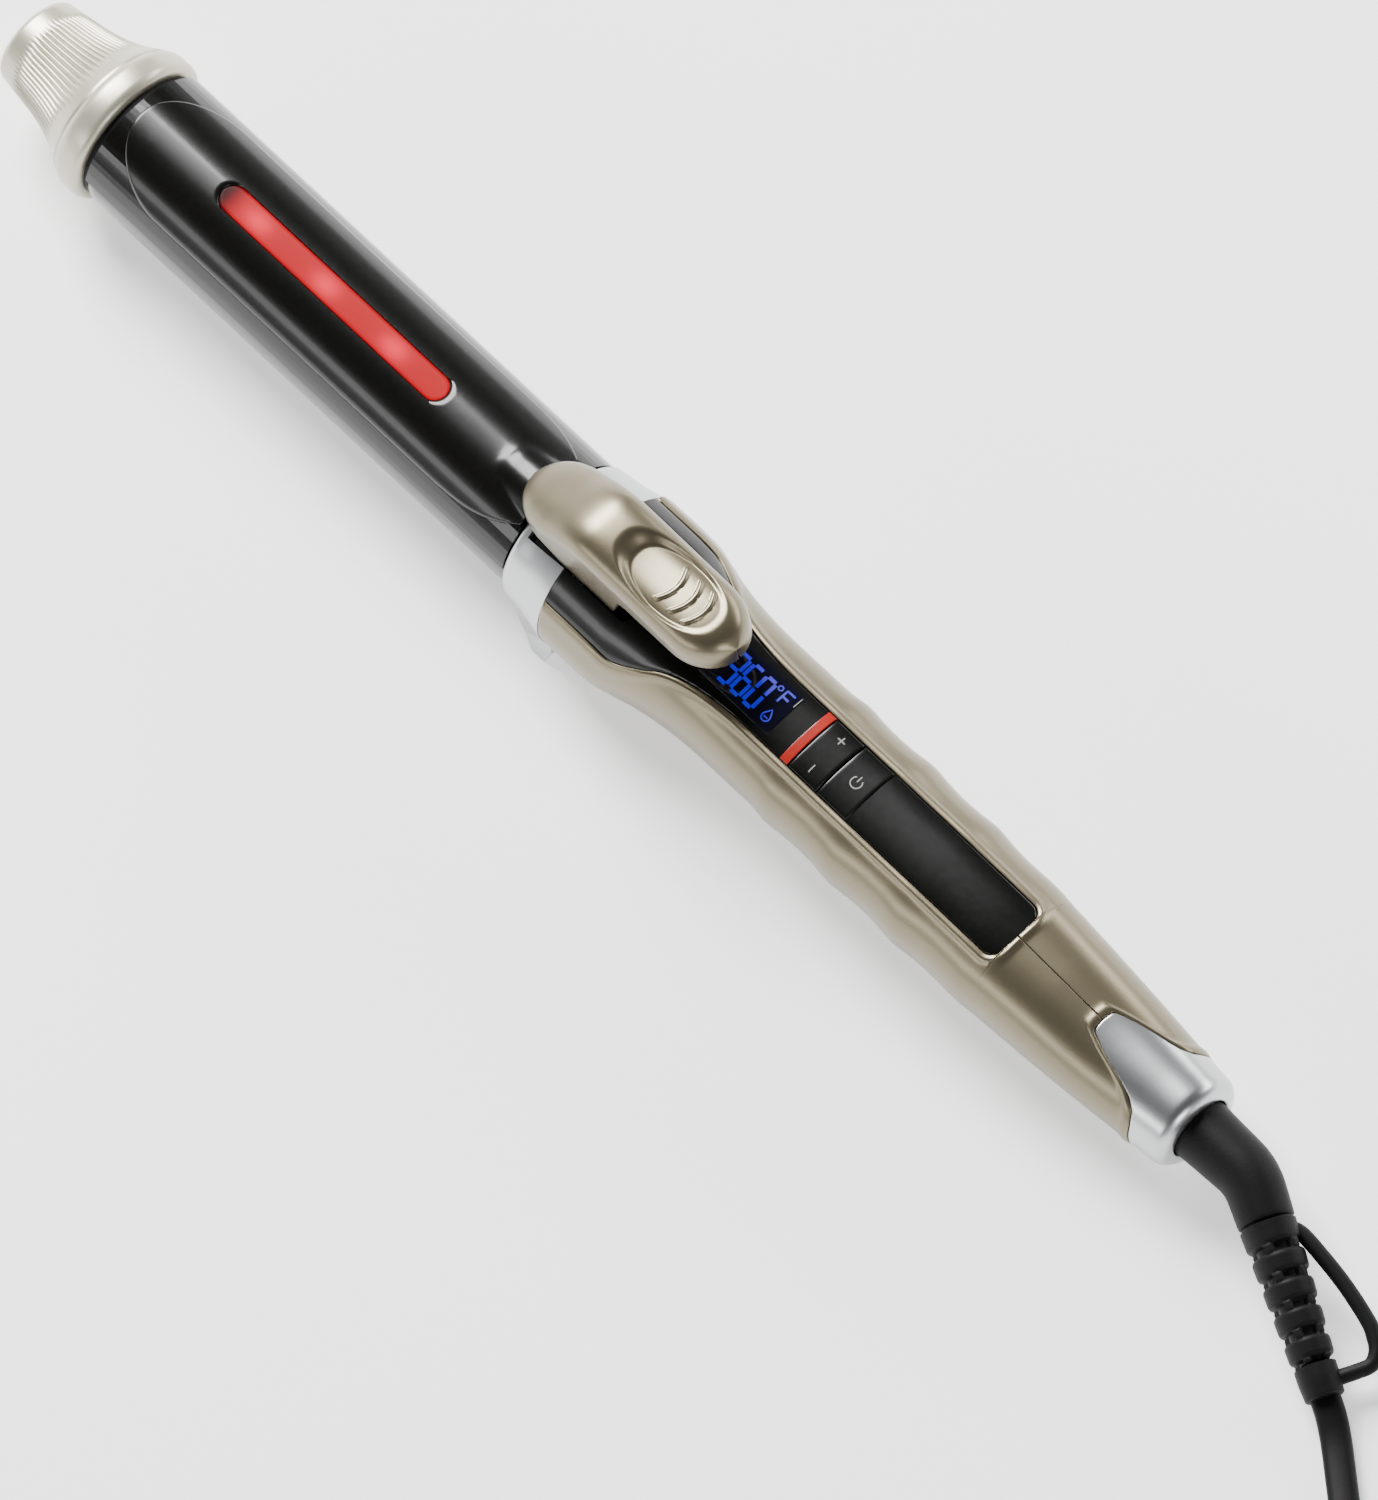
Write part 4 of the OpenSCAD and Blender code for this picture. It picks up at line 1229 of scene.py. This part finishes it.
class IRON_OT_lever(IronPiece, bpy.types.Operator):
    """Shapes the thumb lever with its scoop and three ridges"""

    bl_idname = "iron.lever"
    bl_label = "Thumb lever"

    def execute(self, context):
        """Makes the lever."""
        deep = context.scene.iron_sizes.scoop_depth / MM
        start, end, _, tip = LEVER
        xs = joined(
            rounded_ends(start, end, tip, angles(2, 89, 3)),
            steps(start + tip, 182, 0.9),
            steps(182, 214, 0.22),
            steps(187, 190.2, 0.4),
        )
        around, sill = 132, 6

        def place(i, j):
            x = xs[j]
            wide = max(0.05, lever_half_at(x))
            top = along_rows(x, LEVER_TOP)[1]
            foot = along_rows(x, LEVER_FOOT)[1]
            drop = min(6, (top - foot) * 0.8)
            from_foot = min(i, around - i)
            if from_foot < sill:
                side = wide if i > sill else -wide
                return spot(x, side, foot + (top - drop - foot) * from_foot / sill)
            turn = math.pi * (i - sill) / (around - 2 * sill)
            y = -wide * power(math.cos(turn), 0.8)
            z = top - drop + drop * math.sin(turn) ** 0.78
            return spot(x, y, z - deep * scoop(x, y) + thumb_ridge(x, y))

        bm = bmesh.new()
        shaped_grid(bm, around, len(xs) - 1, place)
        face_out(bm, lambda p: Vector((p.x, 0, (22 + AXIS_H) * MM)))
        lever = finished(
            "thumb_lever_shell", bm, "shell", "clip", ("thumb_lever",), 50
        )
        wall(lever, 1.5)
        return {"FINISHED"}


# ---- grip ----


def lip(distance):
    """Height of the soft lip that distance outside an outline, as a share."""
    if distance < 0:
        return 0.0
    return math.exp(-(((distance - 1.0) / 0.85) ** 2))


def edge_roll(distance, radius=0.5):
    """How far an edge rolls down at that distance from it, in mm."""
    if distance >= radius:
        return 0.0
    t = 1 - max(distance, 0) / radius
    return radius * (1 - math.sqrt(max(0, 1 - t * t)))


def shell_stations():
    """Distances from the tip at which the shells have points."""
    return joined(
        HANDLE_FRONT,
        steps(175, 295, 1.2),
        steps(295, 303, 0.25),
        steps(303, 322, 1.0),
        steps(322, 341, 0.6),
        [341.4, 341.7, 341.88, 342.0],
    )


def make_shell(name, side, node, high):
    """One half of the grip, with a lip that high round the panel and round the tail cap."""
    xs = shell_stations()
    near = [0, 0.12, 0.25, 0.4, 0.6, 0.8, 1.0, 1.25, 1.5, 1.8, 2.1, 2.5, 3.0, 3.6, 4.4]
    far = 34

    def place(i, j):
        x = xs[j]
        y = 8.0
        # The tail cap's edge depends on y, and y on how far the row reaches
        for _ in range(4):
            reach = x if x < 300 else 300 + (x - 300) / 42 * (tail_edge(y) - 300)
            edge = max(strip_half_at(reach) + 0.12, 0.05)
            angle = grip_angle(reach, edge) + near[min(i, len(near) - 1)] / 15.5
            if i >= len(near):
                angle += (1.5 * math.pi - 0.004 - angle) * (i - len(near) + 1) / far
            y = grip_point(reach, angle)[1]
        from_panel = from_strip(reach, y) if math.sin(angle) > 0 else 9.0
        to_tail = tail_edge(y) - reach
        bottom = (1.5 * math.pi - angle) * 14
        out = high * lip(from_panel) * (1 - ease((reach - 302) / 2))
        out += high * 0.8 * lip(to_tail * 0.7) * ease((reach - 318) / 6)
        out -= edge_roll(from_panel, 0.4)
        out -= edge_roll(abs(y) if reach > 298 and math.sin(angle) > 0 else 9.0, 0.22)
        out -= edge_roll(bottom, 0.22) + edge_roll(to_tail, 0.22)
        out -= edge_roll(reach - HANDLE_START, 0.25)
        p = grip_point(reach, angle, out)
        return spot(p[0], side * p[1], p[2])

    bm = bmesh.new()
    verts = shaped_grid(bm, len(near) + far - 1, len(xs) - 1, place)
    bmesh.ops.remove_doubles(bm, verts=verts, dist=MERGE)
    face_out(bm)
    shell = finished(name, bm, "shell", "handle", (node,), 60)
    wall(shell, 1.2)


class IRON_OT_grip(IronPiece, bpy.types.Operator):
    """Shapes the two lacquered halves of the grip"""

    bl_idname = "iron.grip"
    bl_label = "Grip shells"

    def execute(self, context):
        """Makes both shells."""
        lip_height = context.scene.iron_sizes.lip_height / MM
        make_shell("grip_shell_left", 1, "handle_shell_left", lip_height)
        make_shell("grip_shell_right", -1, "handle_shell_right", lip_height)
        return {"FINISHED"}


# ---- controls ----


def in_well(x, y):
    """True inside the well that the lever sinks into."""
    past = max(x - (WELL_END - WELL_CORNER), 0)
    wide = max(abs(y) - (WELL_HALF - WELL_CORNER), 0)
    if past > 0 and wide > 0:
        return math.hypot(past, wide) < WELL_CORNER
    return x < WELL_END and abs(y) < WELL_HALF


def panel_height(x, y):
    """Height of the black panel, with its pockets and the lever's well."""
    top = grip_top(x, y)
    if in_well(x, y):
        return WELL_FLOOR
    start, end, half = DISPLAY
    if start - 0.12 < x < end + 0.12 and abs(y) < half + 0.12:
        return top - 0.9
    if STRIPE[0] < x < KEYS[2] + 0.05:
        return top - (1.0 if x < KEYS[0] else 1.75)
    edge = strip_half_at(x) - abs(y)
    return top - 0.1 - edge_roll(edge, 0.35)


def surface_patch(name, x0, x1, half, look, body, node, thick, roll, sink=0.0):
    """A plate let into the panel, flush with the handle's skin, its edges rolled."""
    rim = (0, 0.08, 0.2)
    xs = joined([x0 + d for d in rim], steps(x0 + 0.4, x1 - 0.4, 0.5), [x1 - d for d in rim])
    ys = joined(
        [d - half for d in rim], steps(-half + 0.5, half - 0.5, 0.6), [half - d for d in rim]
    )

    def place(i, j):
        x, y = xs[j], ys[i]
        near = min(x - x0, x1 - x, y + half, half - y)
        return spot(x, y, grip_top(x, y) - sink - edge_roll(near, roll))

    bm = bmesh.new()
    shaped_grid(bm, len(ys) - 1, len(xs) - 1, place)
    face_out(bm)
    return wall(finished(name, bm, look, body, (node,), 50), thick)


def stroke(bm, points, width, rise):
    """A thin flat line through points of x and y, laid on the handle's skin."""
    fine = []
    for (x0, y0), (x1, y1) in zip(points, points[1:]):
        count = max(1, round(math.hypot(x1 - x0, y1 - y0) / 0.7))
        shares = [k / count for k in range(count)]
        fine += [(x0 + (x1 - x0) * t, y0 + (y1 - y0) * t) for t in shares]
    fine.append(points[-1])
    closed = math.dist(fine[0], fine[-1]) < 1e-6

    def place(i, j):
        a = fine[j - 1] if j else (fine[-2] if closed else fine[0])
        b = fine[j + 1] if j < len(fine) - 1 else (fine[1] if closed else fine[-1])
        length = math.hypot(b[0] - a[0], b[1] - a[1]) or 1
        nx, ny = -(b[1] - a[1]) / length, (b[0] - a[0]) / length
        x = fine[j][0] + nx * width * (i - 0.5)
        y = fine[j][1] + ny * width * (i - 0.5)
        return spot(x, y, grip_top(x, y) + rise)

    shaped_grid(bm, 1, len(fine) - 1, place)


# Which of the seven bars each digit lights: top, upper left, upper right, middle,
# lower left, lower right, bottom
DIGIT_BARS = {"3": "1011011", "6": "1101111", "0": "1110111"}


def digit(bm, figure, x, y, wide, tall):
    """One seven-bar digit that stands up towards the left of the iron."""
    gap = 0.28
    low, mid, high = y, y + tall / 2, y + tall
    bars = [
        ((x + gap, high), (x + wide - gap, high)),
        ((x, mid + gap), (x, high - gap)),
        ((x + wide, mid + gap), (x + wide, high - gap)),
        ((x + gap, mid), (x + wide - gap, mid)),
        ((x, low + gap), (x, mid - gap)),
        ((x + wide, low + gap), (x + wide, mid - gap)),
        ((x + gap, low), (x + wide - gap, low)),
    ]
    for shown, bar in zip(DIGIT_BARS[figure], bars):
        if shown == "1":
            stroke(bm, bar, 0.85, 0.05)


def ring_points(x, y, radius, first=0, last=360, step=20):
    """Points round a circle or part of one, angles in degrees from the rear."""
    return [
        (x + radius * math.cos(a), y + radius * math.sin(a)) for a in angles(first, last, step)
    ]


def marks(name, body, look, lines):
    """A piece made of thin lines on the handle's skin: each is points and a width."""
    bm = bmesh.new()
    for points, width in lines:
        stroke(bm, points, width, 0.04)
    face_out(bm)
    return finished(name, bm, look, body, ())


class IRON_OT_controls(IronPiece, bpy.types.Operator):
    """Lays the black panel, the display, the stripe and the keys into the grip"""

    bl_idname = "iron.controls"
    bl_label = "Panel, display and keys"

    def execute(self, context):
        """Makes the panel and everything let into it."""
        self.make_panel()
        self.make_display()
        self.make_keys()
        return {"FINISHED"}

    def make_panel(self):
        """The black panel with its pockets."""
        start, end, half = DISPLAY
        xs = joined(
            HANDLE_FRONT,
            steps(175, 189, 1.0),
            steps(189, 192.3, 0.22),
            steps(192.3, 232, 0.9),
            [start - 0.13, start - 0.1, end + 0.1, end + 0.13],
            [STRIPE[0] - 0.02, STRIPE[0] + 0.02, KEYS[2] + 0.02, KEYS[2] + 0.07],
            [KEYS[0] - 0.02, KEYS[0] + 0.02],
            steps(232, 295.8, 1.5),
            steps(295.8, STRIP_END, 0.2),
            [STRIP_END - 0.05],
        )
        ys = joined(
            steps(-16, 16, 0.5),
            [side * (WELL_HALF + d) for side in (-1, 1) for d in (-0.05, 0.05)],
            [side * (half + 0.11 + d) for side in (-1, 1) for d in (-0.02, 0.02)],
            [side * v for side in (-1, 1) for v in steps(6.8, 9.3, 0.25)],
        )

        def place(i, j):
            x = xs[j]
            wide = max(strip_half_at(x), 0.01)
            y = clamp(ys[i], -wide, wide)
            return spot(x, y, panel_height(x, y))

        bm = bmesh.new()
        verts = shaped_grid(bm, len(ys) - 1, len(xs) - 1, place)
        bmesh.ops.remove_doubles(bm, verts=verts, dist=2e-6)
        bmesh.ops.dissolve_degenerate(bm, edges=bm.edges, dist=MERGE)
        face_out(bm)
        finished("black_panel", bm, "black", "handle", ("control_panel",), 35)

    def make_display(self):
        """The display's glass, its lit digits and marks, and a painted highlight along the glass's
        rear edge.
        """
        start, end, half = DISPLAY
        surface_patch(
            "display_glass", start, end, half, "glass", "handle", "display_window",
            0.8, 0.12, 0.12,
        )
        bm = bmesh.new()
        for k, figure in enumerate("360"):
            digit(bm, figure, 213.6 + 3.75 * k, -3.9, 2.6, 7.4)
        face_out(bm)
        finished("display_digits", bm, "digits", "handle", ())
        letter = [
            ([(226.4, 0.9), (226.4, 4.1), (228.6, 4.1)], 0.5),
            ([(226.4, 2.5), (228.2, 2.5)], 0.5),
            (ring_points(224.9, 3.5, 0.55, 0, 360, 30), 0.32),
        ]
        drop = [(227.2, -1.0)] + [
            (227.2 + 1.0 * math.cos(math.radians(a)), -3.0 + 1.0 * math.sin(math.radians(a)))
            for a in range(30, -211, -20)
        ]
        drop.append((227.2, -1.0))
        letter += [(drop, 0.32), ([(226.6, -3.1), (227.8, -3.1)], 0.3)]
        marks("display_marks", "handle", "digits", letter)
        # Painted highlight, not print: a thin pale glowing line along the rear edge of the display
        # glass, where light catches that edge.
        edge_highlight_strokes = [([(229.75, 2.4), (229.75, 5.0)], 0.22)]
        marks("display_edge_painted_highlight", "handle", "print", edge_highlight_strokes)

    def make_keys(self):
        """The stripe, the rocking key and the power key, with their marks."""
        edge = STRIP_HALF - 0.08
        surface_patch(
            "red_stripe", STRIPE[0] + 0.08, STRIPE[1] - 0.05, edge, "stripe", "handle",
            "accent_stripe", 0.8, 0.15,
        )
        surface_patch(
            "rocking_key", KEYS[0] + 0.2, KEYS[1] - 0.12, edge, "black", "rocker",
            "rocker_key", 0.9, 0.35,
        )
        surface_patch(
            "power_button_key", KEYS[1] + 0.12, KEYS[2] - 0.1, edge, "black", "power_button",
            "power_key", 0.9, 0.35,
        )
        signs = [
            ([(241.1, 4.2), (243.1, 4.2)], 0.3),
            ([(242.1, 3.2), (242.1, 5.2)], 0.3),
            ([(242.1, -5.2), (242.1, -3.2)], 0.3),
        ]
        marks("rocker_signs", "rocker", "print", signs)
        ring = ring_points(251, 0, 1.3, 130, 410, 20)
        power_sign = [(ring, 0.28), ([(251, 0.2), (251, 1.7)], 0.28)]
        marks("power_sign", "power_button", "print", power_sign)


# ---- collar, tail and swivel ----


class IRON_OT_collar(IronPiece, bpy.types.Operator):
    """Finishes the silver collar with its two stand feet, and the hinge above it"""

    bl_idname = "iron.collar"
    bl_label = "Collar and hinge"

    def execute(self, context):
        """Makes the collar."""
        smooth_copy("collar_with_feet", "collar_ring", "silver", "handle", 30)
        dress("steel", "hinge_bracket", "hinge_pin")
        spring = smooth_copy("return_spring", "lever_spring", "steel", "handle")
        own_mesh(spring)
        return {"FINISHED"}


class IRON_OT_tail(IronPiece, bpy.types.Operator):
    """Shapes the tail cap with its tongues, and the swivel elbow behind it"""

    bl_idname = "iron.tail"
    bl_label = "Tail cap and elbow"

    def execute(self, context):
        """Makes the cap and the elbow."""
        self.make_cap()
        self.make_elbow()
        return {"FINISHED"}

    def make_cap(self):
        """The silver cap: skin, rounded rim and the bore round the elbow."""
        straight = [0, 0.006, 0.015, *steps(0.03, 1, 0.97 / 24)]
        turn_in = angles(9, 90, 9)
        inside = [(TAIL_END, 7.6), (350.7, 7.3), (349.0, 7.26), (347.5, 7.26)]
        rows = len(straight) + len(turn_in) + len(inside)
        sides = 128

        def place(i, j):
            angle = 2 * math.pi * (i % sides) / sides
            if j < len(straight):
                x = 340.0
                for _ in range(4):
                    y = grip_point(x, angle)[1]
                    first = tail_edge(y) + 0.12
                    x = first + straight[j] * (TAIL_END - TAIL_ROUND - first)
                out = -edge_roll(x - tail_edge(grip_point(x, angle)[1]) - 0.12, 0.3)
                return spot(*grip_point(x, angle, out))
            if j < len(straight) + len(turn_in):
                bend = turn_in[j - len(straight)]
                x = TAIL_END - TAIL_ROUND + TAIL_ROUND * math.sin(bend)
                _, y, z = grip_point(x, angle)
                far = math.hypot(y, z - TAIL_H)
                share = (far - TAIL_ROUND * (1 - math.cos(bend))) / far
                return spot(x, y * share, TAIL_H + (z - TAIL_H) * share)
            x, radius = inside[j - len(straight) - len(turn_in)]
            return spot(x, -radius * math.cos(angle), TAIL_H + radius * math.sin(angle))

        bm = bmesh.new()
        verts = shaped_grid(bm, sides, rows - 1, place)
        bmesh.ops.remove_doubles(bm, verts=verts, dist=MERGE)
        face_out(bm, lambda p: Vector((p.x - 4 * MM, 0, (AXIS_H + TAIL_H) * MM)))
        cap = finished(
            "silver_tail_cap", bm, "silver", "handle", ("tail_cap",), 60
        )
        wall(cap, 0.9)

    def make_elbow(self):
        """The black elbow: straight out of the cap, then bent towards the relief."""
        radius = 14.0
        set_back = radius * math.tan(ELBOW_ANGLE / 2)
        ahead = down_relief(1, 0, 0) - down_relief(0, 0, 0)
        inward = (ahead - Vector((math.cos(ELBOW_ANGLE), 0, 0))) / math.sin(ELBOW_ANGLE)
        corner = Vector((ELBOW_X, 0, TAIL_H))
        rings = []
        root = [(348.2, 6.0), (348.3, 7.0), (352.5, 7.0), (354.5, 6.9), (357.0, 6.8), (360.0, 6.7)]
        for x, r in root:
            rings.append((Vector((x, 0, TAIL_H)), Vector((1, 0, 0)), r))
        start = corner - Vector((set_back, 0, 0))
        for k in range(13):
            a = ELBOW_ANGLE * k / 12
            at = start + radius * (Vector((math.sin(a), 0, 0)) + (1 - math.cos(a)) * inward)
            way = Vector((math.cos(a), 0, 0)) + math.sin(a) * inward
            rings.append((at, way, 6.6 - 0.3 * k / 12))
        neck = [(5.0, 6.25), (9.2, 6.1), (9.9, 6.05), (10.15, 5.9), (10.3, 5.3), (10.8, 5.3)]
        for x, r in (*neck, (11.3, 5.0)):
            rings.append((corner + ahead * x, ahead, r))

        def place(k, turn):
            at, way, r = rings[k]
            side = way.cross(Vector((0, 0, 1))).normalized()
            up = side.cross(way)
            p = at + r * (math.cos(turn) * side + math.sin(turn) * up)
            return spot(*p)

        bm = bmesh.new()
        tube(bm, rings, place, 72)
        finished(
            "swivel_elbow_skin", bm, "grain", "cord_swivel", ("swivel_elbow",), 50
        )


class IRON_OT_inner_parts(IronPiece, bpy.types.Operator):
    """Gives the parts inside the iron their finishes"""

    bl_idname = "iron.inner_parts"
    bl_label = "Inner parts"

    def execute(self, context):
        """Puts a finish on each inner CAD node."""
        kinds = {
            "steel": ("tip_screw", "barrel_nose_plug", "shell_screws"),
            "aluminium": ("heat_spreader_upper", "heat_spreader_lower"),
            "ceramic": (
                "ptc_heater", "thermistor", "thermal_fuse", "barrel_base_insulator", "swivel_bush"
            ),
            "wire": ("heater_leads",),
            "board": ("display_board", "power_board", "terminal_block"),
            "grain": ("display_module", "tact_switches", "power_components"),
            "brass": ("slip_ring_brushes", "slip_rings"),
        }
        for kind, nodes in kinds.items():
            dress(kind, *nodes)
        return {"FINISHED"}


# ---- panel and start ----


class IRON_PT_panel(bpy.types.Panel):
    """Lists the iron's settings and the operators that make it"""

    bl_idname = "IRON_PT_panel"
    bl_label = "Curling iron"
    bl_space_type = "VIEW_3D"
    bl_region_type = "UI"
    bl_category = "Iron"

    def draw(self, context):
        """Draws the settings, then a button for each piece."""
        for group in (context.scene.iron_sizes, context.scene.iron_finishes):
            for key in group.__annotations__:
                self.layout.prop(group, key)
        for maker in OPERATORS:
            self.layout.operator(maker.bl_idname)


OPERATORS = (
    IRON_OT_camera,
    IRON_OT_cord,
    IRON_OT_stage,
    IRON_OT_tip,
    IRON_OT_barrel,
    IRON_OT_clip,
    IRON_OT_lever,
    IRON_OT_grip,
    IRON_OT_controls,
    IRON_OT_collar,
    IRON_OT_tail,
    IRON_OT_inner_parts,
)
CLASSES = (IronFinishes, IronSizes, *OPERATORS, IRON_PT_panel)


def register():
    """Adds the settings, the operators and the panel."""
    for kind in CLASSES:
        bpy.utils.register_class(kind)
    bpy.types.Scene.iron_finishes = bpy.props.PointerProperty(type=IronFinishes)
    bpy.types.Scene.iron_sizes = bpy.props.PointerProperty(type=IronSizes)


def unregister():
    """Takes them away again."""
    del bpy.types.Scene.iron_sizes
    del bpy.types.Scene.iron_finishes
    for kind in reversed(CLASSES):
        bpy.utils.unregister_class(kind)


def main():
    """Makes the whole iron, in order."""
    register()
    for maker in OPERATORS:
        group, name = maker.bl_idname.split(".")
        getattr(getattr(bpy.ops, group), name)()


if __name__ == "__main__":
    main()
